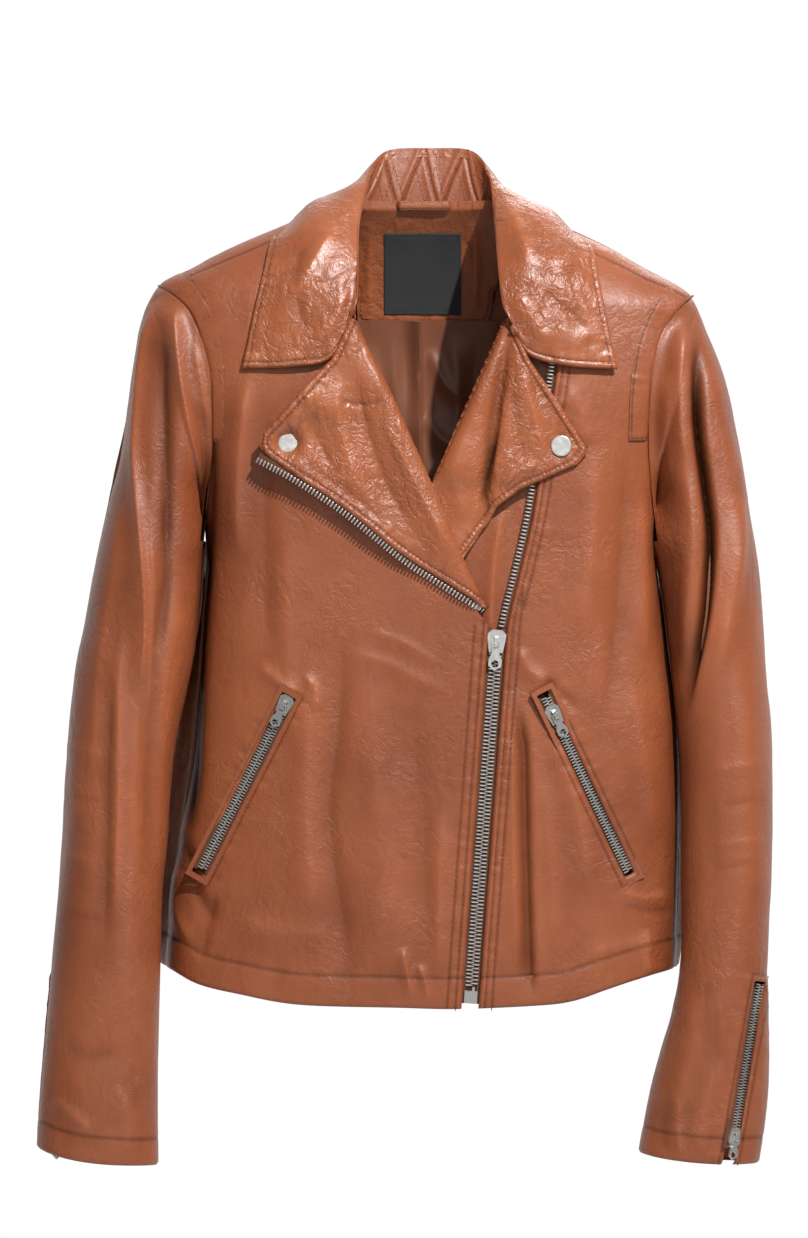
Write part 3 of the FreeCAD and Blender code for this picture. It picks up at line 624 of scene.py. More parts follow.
def metal_material(name, colour, worn, rough):
    """Plated metal, rubbed here and there, with faint scratches."""
    m, nodes, links, bsdf = material(name)
    where = node(nodes, "TexCoord").outputs["Object"]
    rub = texture(nodes, links, "Noise", where, Scale=260.0, Detail=5.0, Roughness=0.6)
    tone = coloured(nodes, links, rub.outputs["Fac"], (0.35, worn), (0.6, colour))
    links.new(tone, bsdf.inputs["Base Color"])
    gloss = remap(nodes, links, rub.outputs["Fac"], (0.3, 0.7), (rough + 0.12, rough - 0.05))
    links.new(gloss, bsdf.inputs["Roughness"])
    scratch = texture(nodes, links, "Noise", where, Scale=1900.0, Detail=2.0)
    links.new(bump_chain(nodes, links, (scratch.outputs["Fac"], 0.00002, 0.15)), bsdf.inputs["Normal"])
    bsdf.inputs["Metallic"].default_value = 0.85
    return m


LEATHER = leather_material("leather", (0.222, 0.053, 0.0160), (0.284, 0.074, 0.0245), (0.335, 0.090, 0.029),
                           rough=0.45)
# Collar and lapel leather: glossier and more creased than the rest, with its base colour set lighter as a
# painted highlight.
GLAZED_PAINTED_HIGHLIGHT = leather_material("leather_creased_painted_highlight", (0.26, 0.068, 0.024), (0.33, 0.093, 0.034), (0.40, 0.126, 0.050),
                          rough=0.31, crease=2.6)
INNER = leather_material("leather_inside", (0.21, 0.053, 0.018), (0.27, 0.072, 0.025), (0.32, 0.090, 0.033),
                         rough=0.5)
SATIN = cloth_material("lining_satin", (0.135, 0.044, 0.021), (0.19, 0.066, 0.032), 0.36, depth=0.00005,
                       sheen=0.05)
POCKETING = cloth_material("pocketing", (0.10, 0.05, 0.03), (0.15, 0.08, 0.05), 0.85)
LABEL = cloth_material("label_weave", (0.013, 0.013, 0.014), (0.021, 0.020, 0.021), 0.75, weave=4200.0,
                       sheen=0.3)
TAPE = cloth_material("zip_tape", (0.085, 0.030, 0.016), (0.13, 0.048, 0.026), 0.8)
NICKEL = metal_material("nickel", (0.64, 0.625, 0.60), (0.52, 0.505, 0.48), 0.26)
TEETH = metal_material("zip_teeth_metal", (0.80, 0.78, 0.74), (0.58, 0.56, 0.52), 0.32)
THREAD = cloth_material("thread", (0.16, 0.045, 0.022), (0.23, 0.070, 0.034), 0.7)


# ---- body panels ---------------------------------------------------------------------
def body_rows(fine, coarse):
    return np.concatenate([np.arange(3, -72, -fine), np.arange(-72, -592, -coarse)])


def body_grid(zs, columns, half, shrink=0.0):
    """Half of the body as a grid: front or back, moved in by shrink."""
    x0, x1, depth, power = by_height(BODY_SECTIONS, zs + shrink)
    start, end = (math.pi, 2 * math.pi) if half == "front" else (math.pi, 0)
    mid = np.full(len(zs), BODY_MID_Y)
    return tube(zs, x0 + shrink, x1 - shrink, mid, depth - shrink, power, columns, start, end)


def fuller_sides(grid):
    """The back's sides stand out behind the sleeves."""
    z, x, y = grid[..., 2], grid[..., 0], grid[..., 1]
    down = smoothstep((-240 - z) / 70) * (1 - 0.5 * smoothstep((-500 - z) / 70))
    around = smoothstep((y - BODY_MID_Y - 3) / 26) * smoothstep((np.abs(x) - 95) / 55)
    grid[..., 0] += np.sign(x) * np.where(x < 0, 24.0, 16.0) * down * around
    return grid


def zip_side(offset):
    """The main zip's line moved across by offset, foot first, past the hem."""
    (x0, z0), (x1, z1) = ZIP_FOOT, ZIP_TOP
    length = math.hypot(x1 - x0, z1 - z0)
    ux, uz = (x1 - x0) / length, (z1 - z0) / length
    return [(x0 - 30 * ux + uz * offset, z0 - 30 * uz - ux * offset), (x1 + uz * offset, z1 - ux * offset)]


def closed_hem(line, low=-700):
    """A hem line with everything below it, as an outline."""
    line = [tuple(p) for p in curve(line, 3.0)]
    (x0, z0), (x1, z1) = line[0], line[-1]
    return [(x0 - 60, low), (x0 - 60, z0)] + line + [(x1 + 60, z1), (x1 + 60, low)]


def armhole_outline(side, widen=0.0):
    """Everything outside an armhole, as an outline."""
    sign = SIGN[side]
    line = [tuple(p) for p in curve([(x + sign * widen, z) for x, z in ARMHOLES[side]], 2.0)]
    foot, head = line[-1], line[0]
    return line + [(sign * 330, foot[1]), (sign * 330, head[1] + 60), (head[0], head[1] + 60)]


def pocket_outline(side, half=3.9, extra=2.5):
    """The slit of a pocket zip: half its width to each side, and extra longer at its head."""
    (x0, _, z0), (x1, _, z1) = POCKETS[side]
    length = math.hypot(x1 - x0, z1 - z0)
    ux, uz = (x1 - x0) / length, (z1 - z0) / length
    below = extra if extra > 3 else 0.3
    a, b = (x0 - ux * below, z0 - uz * below), (x1 + ux * extra, z1 + uz * extra)
    return [(a[0] - uz * half, a[1] + ux * half), (b[0] - uz * half, b[1] + ux * half),
            (b[0] + uz * half, b[1] - ux * half), (a[0] + uz * half, a[1] - ux * half)]


def shift(line, offset):
    """A line moved to its left by offset."""
    p = np.asarray(line, float)
    d = np.gradient(p, axis=0)
    n = np.stack([-d[:, 1], d[:, 0]], axis=1)
    n /= np.maximum(np.linalg.norm(n, axis=1, keepdims=True), 1e-9)
    return p + n * offset


RIGHT_EDGE = zip_side(-6.0)                  # from the hem up to the slider
LEFT_EDGE = zip_side(6.0)
# Shoulder patches: the edge away from the armhole, and both ends of the foot.
PATCH_FEET = {"right": ((-152.6, -172), (-140.4, -172)), "left": ((160.8, -171), (147.2, -171))}
PATCHES = {
    "right": [(-176, -46), (-163.5, -56.5), (-152, -75), (-146.4, -89), (-141.5, -115), (-140.7, -140),
              (-140.5, -168)],
    "left": [(181, -50), (167, -69.6), (158.5, -86.7), (152.8, -102.4), (149.2, -125), (147.6, -145),
             (147.3, -165)],
}


def right_front():
    """The front on the wearer's right, with its pocket slit and folds."""
    zs = body_rows(0.8, 1.3)
    s = Sheet(body_grid(zs, 420, "front"), (0, -1, 0))
    low, high = RIGHT_EDGE
    outline = [(-52, 40), (-52, -80), (-46, -90), (34, -288), (45, -302), high, low, (low[0], -640),
               (-330, -640), (-330, 40)]
    s.trim(outline).trim(closed_hem(HEM), False).trim(armhole_outline("right"), False)
    s.trim(pocket_outline("right"), False)
    s.edge([(low[0], -600), high, (47, -300)], stitch=4.4, smooth=False, seed=11)
    s.seam(zip_side(-16.5), groove=0.45, pucker=0.12, seed=12, smooth=False)
    hem_fold(s, seed=13)
    armhole_edge(s, "right")
    pocket_edge(s, "right")
    s.seam([(-56, 4), (-100, -23), (-150, -45), (-188, -62)], groove=0.35, pucker=0.1, seed=14)
    # soft folds, from the armhole inwards and down; the first is a valley beside the armhole with painted
    # shade in it
    s.ridge([(-151, -140), (-151, -190), (-152.5, -240), (-157, -300), (-161, -350), (-165, -420),
             (-171, -470)],
            -1.6, 4, 8, taper=0.15, dark=-0.8, crest=1.4)
    s.ridge([(-124, -118), (-129, -150), (-133, -205), (-131, -260)], 3.0, 6, 9)
    s.ridge([(-112, -130), (-114, -200), (-112, -290), (-108, -340)], -1.5, 9, 9)
    s.ridge([(-96, -215), (-99, -300), (-92, -400)], 1.8, 12, 15)
    s.ridge([(-58, -300), (-61, -370), (-68, -440), (-58, -520), (-52, -575)], -2.4, 8, 13)
    s.ridge([(-80, -320), (-84, -420), (-80, -530)], 1.9, 14, 11)
    s.ridge([(-40, -310), (-36, -400), (-30, -500), (-33, -572)], 1.6, 12, 16)
    s.ridge([(-12, -350), (-2, -420), (2, -500), (8, -566)], -1.2, 9, 12)
    s.ridge([(12, -430), (10, -500), (10, -560)], 1.5, 7, 9)
    s.ridge([(-62, -322), (-30, -329), (-2, -343), (18, -352)], 0.75, 5, 7)
    s.ridge([(-44, -306), (-14, -316), (14, -334)], 0.65, 4, 6)
    s.ridge([(-120, -330), (-100, -346), (-86, -352)], 1.2, 5, 5)
    s.ridge([(-88, -338), (-78, -348), (-76, -366)], 1.3, 3.5, 5)
    s.ridge([(-16, -532), (-13, -548), (-8, -572)], 1.9, 3.0, 4.5)
    s.ridge([(-6, -544), (0, -556), (4, -574)], 1.5, 3.0, 4.0)
    s.ridge([(-172, -452), (-166, -490), (-150, -520)], -2.0, 6, 6)
    s.ridge([(-176, -470), (-178, -505), (-166, -536)], 1.8, 5, 6)
    s.ridge([(-148, -492), (-156, -520), (-160, -548)], -1.4, 5, 6)
    s.ridge([(-140, -510), (-110, -522), (-60, -524)], 0.9, 8, 8)
    s.crumple(broad=1.5, fine=0.18, seed=21, stretch=(0.75, 1, 2.6), creases=0.14)
    s.lift += 0.9
    # painted shade where the sleeve hangs against the side
    s.shade -= painted_shade_beside_sleeve(s)
    obj = finish_sheet(s, "right_front", LEATHER, 1.5)
    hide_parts("right_front_panel")
    return s, obj


def painted_shade_beside_sleeve(s):
    """Painted shade on the body's sides, which the sleeves hang against."""
    return 0.45 * smoothstep((s.p[:, 1] + 60) / 16) * smoothstep((-190 - s.z) / 60)


def hem_fold(s, seed):
    s.edge(HEM, stitch=30.0, roll=1.6, puff=0.0, pucker=0.15, seed=seed)
    line = shift(curve(HEM, 4.0), 22.0)
    s.seam(line, groove=0.35, width=1.6, pucker=0.45, pitch=9.0, spread=9.0, seed=seed + 1)
    s.step(line, -0.7, 2.0, 14.0, taper=0.02)


def armhole_edge(s, side):
    line = ARMHOLES[side] if side == "left" else ARMHOLES[side][::-1]
    s.edge(line, stitch=60.0, roll=0.7, puff=0.0, pucker=0.22, pitch=6.0, seed=31)


def pocket_edge(s, side):
    """The slit's rolled edge, its welt's stitching and the puckers round it."""
    hole = pocket_outline(side)
    ring = hole + hole[:1]
    s.edge(ring, stitch=60.0, roll=1.3, puff=0.0, pucker=0.1, seed=41, smooth=False)
    outer = pocket_outline(side, 8.4, 6.0)
    s.seam(outer + outer[:1], groove=0.5, width=0.8, pucker=0.42, pitch=4.6, spread=6.5, seed=42,
           smooth=False)


def left_front():
    """The front on the wearer's left, with its pocket slit and folds."""
    zs = body_rows(0.8, 1.3)
    s = Sheet(body_grid(zs, 420, "front"), (0, -1, 0))
    upper = [tuple(p) for p in curve([(x + 6.2, z) for x, z in ZIP_UPPER], 3.0)]
    foot = LEFT_EDGE[0]
    outline = [foot] + upper + [(upper[-1][0], 40), (330, 40), (330, -640), (foot[0], -640)]
    s.trim(outline).trim(closed_hem(HEM), False).trim(armhole_outline("left"), False)
    s.trim(pocket_outline("left"), False)
    s.edge([foot] + upper, stitch=4.4, smooth=False, seed=51)
    s.seam([zip_side(15.5)[0]] + [(x + 15.5, z) for x, z in ZIP_UPPER], groove=0.45, pucker=0.14, seed=52)
    hem_fold(s, seed=53)
    armhole_edge(s, "left")
    pocket_edge(s, "left")
    s.seam([(58, 4), (100, -24), (146, -48), (186, -68)], groove=0.35, pucker=0.1, seed=54)
    # a deep fold, with painted shade in its valley
    s.ridge([(66, -356), (71.5, -392), (72.5, -440), (73.5, -480), (75, -530), (77, -574)], -4.2, 3.4, 9,
            taper=0.16, dark=-0.25)
    s.ridge([(58, -350), (63, -392), (64, -440), (65, -490), (66, -560)], 2.6, 8, 4.5)
    s.ridge([(66, -318), (76, -336), (92, -345)], 1.6, 5, 6)
    s.ridge([(82, -338), (98, -352), (112, -366)], -1.1, 4, 5)
    s.ridge([(92, -366), (102, -410), (112, -450), (118, -500)], 2.2, 9, 8)
    s.ridge([(84, -400), (90, -460), (94, -540)], 1.5, 9, 8)
    s.ridge([(146, -160), (144, -220), (138, -300), (130, -380)], -2.0, 10, 8)
    s.ridge([(124, -170), (120, -240), (112, -320)], 2.0, 9, 12)
    s.ridge([(158, -205), (157, -260), (158, -330)], 1.8, 7, 6)
    s.ridge([(146, -340), (158, -400), (166, -460)], 1.4, 9, 8)
    s.ridge([(138, -494), (156, -499), (178, -497)], 1.1, 3.5, 4)
    s.ridge([(142, -503), (160, -509), (180, -508)], -0.9, 3, 4)
    s.ridge([(100, -130), (112, -150), (118, -176)], 1.2, 8, 8)
    s.ridge([(160, -520), (160, -545), (163, -556)], 1.4, 4, 5)
    s.ridge([(112, -540), (140, -534), (176, -528)], 0.9, 6, 6)
    s.crumple(broad=1.5, fine=0.18, seed=61, stretch=(0.75, 1, 2.6), creases=0.14)
    s.lift += 0.9
    # painted shade where the sleeve hangs against the side
    s.shade -= painted_shade_beside_sleeve(s)
    obj = finish_sheet(s, "left_front", LEATHER, 1.5)
    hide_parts("left_front_panel")
    return s, obj


def back():
    """The back, with its yoke seam and centre seam."""
    zs = body_rows(1.2, 2.0)
    s = Sheet(fuller_sides(body_grid(zs, 300, "back")), (0, 1, 0))
    arc = [(-60, 9), (-50, 3), (-25, -3), (2, -4.5), (29, -3), (54, 3), (64, 9)]
    scoop = [tuple(p) for p in curve(arc, 3.0)] + [(64, 60), (-60, 60)]
    s.trim(scoop, False, 2.2).trim(closed_hem(HEM), False, 2.2)
    s.trim(armhole_outline("right"), False, 2.2).trim(armhole_outline("left"), False, 2.2)
    s.edge(HEM, stitch=60.0, roll=1.6, puff=0.0, pucker=0.15, seed=70)
    s.seam(shift(curve(HEM, 4.0), 22.0), groove=0.4, width=1.8, pucker=0.45, pitch=9, spread=9, seed=71)
    for side in ("right", "left"):
        s.edge(ARMHOLES[side], stitch=60.0, roll=1.5, puff=0.0, pucker=0.22, pitch=6.0, seed=72)
    s.seam([(-168, -128), (-90, -120), (2, -117), (96, -120), (176, -132)], groove=0.7, width=1.2,
           pucker=0.2, seed=73)
    s.seam([(2, -118), (2, -300), (1, -600)], groove=0.6, width=1.2, pucker=0.22, seed=74)
    s.seam([(-163, -300), (-176, -365), (-188, -425)], groove=0.8, width=1.2, pucker=0.6, pitch=4.0, seed=76)
    s.ridge([(-120, -170), (-110, -300), (-116, -440), (-120, -560)], 2.6, 18, 14)
    s.ridge([(-70, -200), (-60, -340), (-66, -480)], -1.8, 14, 16)
    s.ridge([(60, -190), (66, -330), (58, -470), (62, -570)], 2.2, 16, 14)
    s.ridge([(120, -180), (112, -300), (122, -450), (126, -560)], -1.8, 12, 14)
    s.ridge([(-30, -380), (-24, -470), (-28, -575)], 1.8, 12, 10)
    s.ridge([(-140, -300), (-60, -330), (20, -322), (120, -338)], -1.2, 10, 14)
    s.ridge([(-150, -150), (-110, -190), (-60, -205)], 1.6, 9, 12)
    s.ridge([(158, -155), (110, -196), (60, -212)], 1.5, 9, 12)
    s.crumple(broad=1.2, fine=0.15, seed=75)
    s.lift += 0.8
    # painted shade on the back's sides behind the sleeves
    painted_shade_by_sleeve = smoothstep((np.abs(s.x) - 148) / 14) * smoothstep((-190 - s.z) / 60)
    s.shade -= 0.55 * smoothstep((22 - s.p[:, 1]) / 30) * painted_shade_by_sleeve
    obj = finish_sheet(s, "back", LEATHER, 1.5)
    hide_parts("back_panel")
    return s, obj


def shoulder_patch(side, half):
    """The second layer of leather along the armhole, on the front or on the back."""
    zs = np.arange(-30, -200, -0.9)
    s = Sheet(body_grid(zs, 520, half), (0, -1 if half == "front" else 1, 0), offset=1.7)
    outer_foot, inner_foot = PATCH_FEET[side]
    outer = [(x, z) for x, z in ARMHOLES[side] if z > -165] + [outer_foot]
    inner = PATCHES[side][:-1] + [inner_foot]
    head = [(inner[0][0], -20), (outer[0][0], -20)]
    ring = [tuple(p) for p in curve(outer, 2.0)] + [tuple(p) for p in curve(inner[::-1], 2.0)] + head
    s.trim(ring, True, 1.4)
    s.edge(inner + [outer_foot], stitch=1.6, roll=0.75, puff=0.1, pucker=0.3, smooth=False, seed=81)
    s.edge(outer, stitch=40, roll=0.9, puff=0, pucker=0.55, pitch=4.6, seed=82)
    s.crumple(broad=0.5, fine=0.16, seed=83)
    return s


def shoulder_patches():
    """Both patches, each in a front and a back half."""
    made = {}
    halves = ("front", "back")
    for side in SIGN:
        sheets = [shoulder_patch(side, half) for half in halves]
        objs = [finish_sheet(s, f"{side}_shoulder_patch_{half}", LEATHER, 1.1)
                for s, half in zip(sheets, halves)]
        for obj in objs:
            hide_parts(side + "_shoulder_patch")
        made[side] = (sheets, objs)
    return made


# ---- sleeves ---------------------------------------------------------------------------
def sleeve_grid(side, zs, columns, half, shrink=0.0):
    """One half of a sleeve, as rows of points at heights zs."""
    outer, inner, mid, depth = by_height(SLEEVE_SECTIONS[side], zs)
    x0, x1 = np.minimum(outer, inner) + shrink, np.maximum(outer, inner) - shrink
    power = np.full(len(zs), 2.2)
    end = 2 * math.pi if half == "upper" else 0
    return tube(zs, x0, x1, mid, depth - shrink, power, columns, math.pi, end)


def sleeve(side, half):
    """One half of a sleeve, sewn into its armhole, with its creases."""
    zs = np.concatenate([np.arange(-59 if side == "right" else -66, -90, -0.8), np.arange(-90, -700, -1.35)])
    s = Sheet(sleeve_grid(side, zs, 130, half), (0, -1 if half == "upper" else 1, 0))
    s.trim(side_region(side), True).trim(closed_hem(CUFFS[side], -800), False)
    meet_body(s, side, half)
    zip_half = "upper" if side == "left" else "under"
    if half == zip_half:
        hole = cuff_outline(side)
        s.trim(hole, False)
        s.edge(hole + hole[:1], stitch=60, roll=1.2, puff=0, pucker=0.2, pitch=5, seed=101, smooth=False)
        s.ridge([(CUFF_ZIPS[side][0][0], -552), (CUFF_ZIPS[side][1][0], -690)], 1.2, 13, 13, taper=0.04)
        outer = cuff_outline(side, 8.8, 6.0)
        s.seam(outer + outer[:1], groove=0.45, pucker=0.35, pitch=4.8, spread=6, seed=102, smooth=False)
    s.edge(ARMHOLES[side], stitch=60, roll=0.5, puff=0, pucker=0.4, pitch=6.0, seed=103)
    s.edge(CUFFS[side], stitch=60, roll=1.5, puff=0, pucker=0.15, seed=104)
    s.seam(shift(curve(CUFFS[side], 4), 19.0), groove=0.3, width=1.5, pucker=0.35, pitch=8, seed=105)
    if half == "upper":
        sleeve_folds(s, side)
    else:
        s.ridge([(SLEEVE_SECTIONS[side][5][1] * 0.95, -150), (SLEEVE_SECTIONS[side][8][1] * 0.93, -330)],
                1.8, 10, 12)
    s.crumple(broad=1.5, fine=0.2, seed=110 if side == "right" else 120, stretch=(0.6, 1, 3.0), creases=0.16)
    s.lift += 0.6
    obj = finish_sheet(s, f"{side}_sleeve_{half}", LEATHER, 1.4)
    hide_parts(f"{side}_{half}_sleeve")
    return s, obj


def meet_body(s, side, half, inset=0.0):
    """Draws the sleeve head to the body's surface along the armhole, and rounds it away from there."""
    inward = inset if half == "upper" else -inset
    d, _, _ = nearest(curve(ARMHOLES[side], 2.0), s.x, s.z, 40.0)
    near = (np.abs(d) < 39.9) & (s.z > -250)
    outer = by_height(SLEEVE_SECTIONS[side], s.z)[0]
    w = near * np.exp(-(np.abs(d) / 11.0) ** 1.6) * smoothstep((s.z + 250) / 50)
    w *= smoothstep(np.abs(s.x - outer) / 7)
    face = "back" if half == "under" else "front"
    s.p[:, 1] += w * (body_y(s.x, s.z, face) + inward - s.p[:, 1])


def body_y(x, z, half):
    """Depth of the body's surface at points in front view."""
    x0, x1, depth, power = by_height(BODY_SECTIONS, z)
    share = np.clip(np.abs(x - (x0 + x1) / 2) / ((x1 - x0) / 2), 0, 0.9995)
    rise = depth * (1 - share ** power) ** (1 / power)
    return BODY_MID_Y - rise if half == "front" else BODY_MID_Y + rise


def side_region(side):
    """The sleeve's side of its armhole seam, and everything below the armpit."""
    sign = SIGN[side]
    line = [tuple(p) for p in curve([(x + sign * 0.1, z) for x, z in ARMHOLES[side]], 2.0)]
    foot = line[-1]
    return line + [(sign * 100, foot[1]), (sign * 100, -760), (sign * 340, -760), (sign * 340, 40),
                   (line[0][0], 40)]


def cuff_outline(side, half=5.6, extra=1.5):
    """The slit of a cuff zip."""
    (x1, _, z1), (x0, _, z0), _ = CUFF_ZIPS[side]
    length = math.hypot(x1 - x0, z1 - z0)
    ux, uz = (x1 - x0) / length, (z1 - z0) / length
    squeeze = 0.78 if side == "left" else 0.62
    half = half * squeeze
    a, b = (x0 - ux * 40, z0 - uz * 40), (x1 + ux * extra, z1 + uz * extra)
    return [(a[0] - uz * half, a[1] + ux * half), (b[0] - uz * half, b[1] + ux * half),
            (b[0] + uz * half, b[1] - ux * half), (a[0] + uz * half, a[1] - ux * half)]


def sleeve_folds(s, side):
    """The folds and creases on the front of a sleeve, with painted shade in the valleys that have dark set.
    """
    if side == "right":
        s.ridge([(-190.5, -66), (-199, -103), (-203.3, -146), (-205.4, -184), (-203, -230), (-200, -300),
                 (-204, -352)], 4.2, 3.4, 6.5, taper=0.12, crest=1.25)
        s.ridge([(-178, -70), (-176.5, -104), (-173.4, -132), (-168, -162), (-160, -205)], 3.2, 3.6, 5,
                taper=0.15, crest=1.3)
        # valleys with painted shade in them
        s.ridge([(-187.5, -80), (-188, -130), (-186, -180), (-181, -262)], -3.6, 7, 6, dark=-0.3)
        s.ridge([(-158, -170), (-156, -220), (-158, -280), (-166, -330)], -1.6, 4, 4, dark=-0.6)
        s.ridge([(-166, -92), (-162, -118), (-157.5, -150), (-156, -190)], 1.5, 3, 4)
        s.ridge([(-163, -140), (-158, -170), (-160, -215)], -1.6, 3.5, 4, dark=-0.1)
        s.ridge([(-214, -200), (-222, -260), (-232, -330), (-238, -420)], 1.9, 6, 9)
        s.ridge([(-223, -330), (-226, -400), (-227, -470), (-229, -545)], -2.0, 5, 9, dark=-0.08)
        s.ridge([(-216, -300), (-219, -370), (-220, -450), (-222, -520)], 1.8, 4, 7)
        s.ridge([(-206, -340), (-208, -420), (-212, -520), (-216, -600)], 2.0, 8, 10)
        s.ridge([(-212, -90), (-216, -150), (-224, -215)], -1.4, 4, 6, dark=-0.15)
        s.ridge([(-196, -220), (-194, -290), (-199, -380)], 2.0, 3.4, 5, crest=1.3)
        s.ridge([(-186, -210), (-184, -270), (-190, -330)], -1.8, 3.5, 5, dark=-0.2)
        s.step([(-176, -262), (-188, -300), (-192, -370), (-193, -430), (-193, -500)], 5.0, 4.0, 20)
        s.ridge([(-243, -300), (-249, -380), (-250, -460)], 1.5, 8, 8)
        for k, (x, z) in enumerate([(-250, -392), (-252, -428), (-254, -470), (-252, -512)]):
            s.ridge([(x - 8, z + 2), (x + 6, z), (x + 22, z - 5 + 3 * (k % 2))], -0.45 if k % 2 else 0.4, 3,
                    5)
        s.ridge([(-262, -600), (-240, -612), (-214, -606)], -1.0, 6, 8)
        s.ridge([(-268, -640), (-250, -655), (-236, -668)], 1.2, 5, 6)
        s.ridge([(-222, -630), (-212, -655), (-214, -684)], 1.0, 5, 6)
    else:
        s.ridge([(187, -78), (184, -110), (183, -150), (188, -200)], 2.4, 5, 5)
        s.ridge([(200, -84), (208, -130), (214, -180), (222, -240), (226, -300)], 2.6, 9, 7)
        # the deep fold, with strong painted shade along its valley
        s.ridge([(196, -84), (196.5, -120), (198, -165), (203, -205), (206, -240), (202, -290), (192, -338),
                 (185, -378)],
                -7.0, 3.0, 5.0, taper=0.25, dark=-1.0, crest=2.0)
        s.ridge([(176, -230), (180, -290), (182, -350)], -1.0, 9, 9, dark=-0.25)
        s.ridge([(214, -150), (224, -215), (219, -290), (206, -350)], 3.0, 6, 9)
        s.ridge([(184, -180), (192, -230), (190, -290), (184, -330)], 2.6, 6, 7)
        s.ridge([(176, -120), (174, -160), (178, -210)], 1.6, 5, 6)
        s.ridge([(228, -330), (232, -420), (231, -520)], 1.5, 10, 12)
        s.ridge([(210, -400), (208, -480), (206, -560)], -1.2, 12, 12)
        for k, (x, z) in enumerate([(232, -404), (236, -430), (234, -458), (230, -476)]):
            s.ridge([(x - 26, z - 3), (x - 6, z), (x + 12, z + 3)], -0.5 if k % 2 else 0.45, 3.0, 4.4)
        s.ridge([(196, -560), (190, -610), (176, -660)], 1.6, 10, 10)
        s.ridge([(214, -610), (202, -640), (196, -684)], 1.3, 6, 7)
        s.ridge([(176, -640), (170, -662), (174, -686)], -1.1, 6, 6)
        s.ridge([(184, -636), (181, -660), (184, -688)], 1.1, 4, 5)


def bend_sleeve(obj):
    """Bakes the piece's placement into its mesh."""
    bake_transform(obj)


def sleeve_head_seam(side):
    """Leather across the depth of the armhole, so that no gap shows where sleeve and body meet."""
    sign = SIGN[side]
    foot = ARMHOLES[side][-1]
    line = curve(ARMHOLES[side] + [(foot[0] + sign * 0.6, foot[1] - 19)], 2.0)
    x, z = line[:, 0], line[:, 1]
    front, rear = body_y(x, z, "front"), body_y(x, z, "back")
    rows = [np.stack([x + sign * 1.2 * math.sin(math.pi * share), front + (rear - front) * share, z], axis=1)
            for share in np.linspace(0.025, 0.975, 40)]
    s = Sheet(np.stack(rows), (sign, 0, 0.4))
    # painted shade: the sheet lies deep between sleeve and body
    s.shade -= 0.35
    obj = finish_sheet(s, side + "_sleeve_head_seam", LEATHER, 0.9)
    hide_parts(side + "_upper_sleeve")
    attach(obj, "torso")


SHEETS = {}
SHEETS["right_front"], right_front_obj = right_front()
SHEETS["left_front"], left_front_obj = left_front()
SHEETS["back"], back_obj = back()
for obj in (right_front_obj, left_front_obj, back_obj):
    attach(obj, "torso")
patches = shoulder_patches()
for sheets, objs in patches.values():
    for obj in objs:
        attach(obj, "torso")
for side in ("right", "left"):
    for half in ("upper", "under"):
        s, obj = sleeve(side, half)
        SHEETS[f"{side}_{half}"] = s
        bend_sleeve(obj)
    sleeve_head_seam(side)


# ---- linings -----------------------------------------------------------------------------
def plain(sheet, name, finish, thickness, body, *nodes):
    """Finishes a sheet that takes the place of nodes and moves with one body; on a sleeve its placement is
    only baked in.
    """
    obj = finish_sheet(sheet, name, finish, thickness)
    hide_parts(*nodes)
    if body.endswith("_sleeve"):
        bend_sleeve(obj)
    else:
        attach(obj, body)
    return obj


def satin_sheet(sheet, name, thickness, body, node_name):
    """A lining piece: a sheet of satin, with soft slack in it."""
    obj = plain(sheet, name, SATIN, thickness, body, node_name)
    return obj


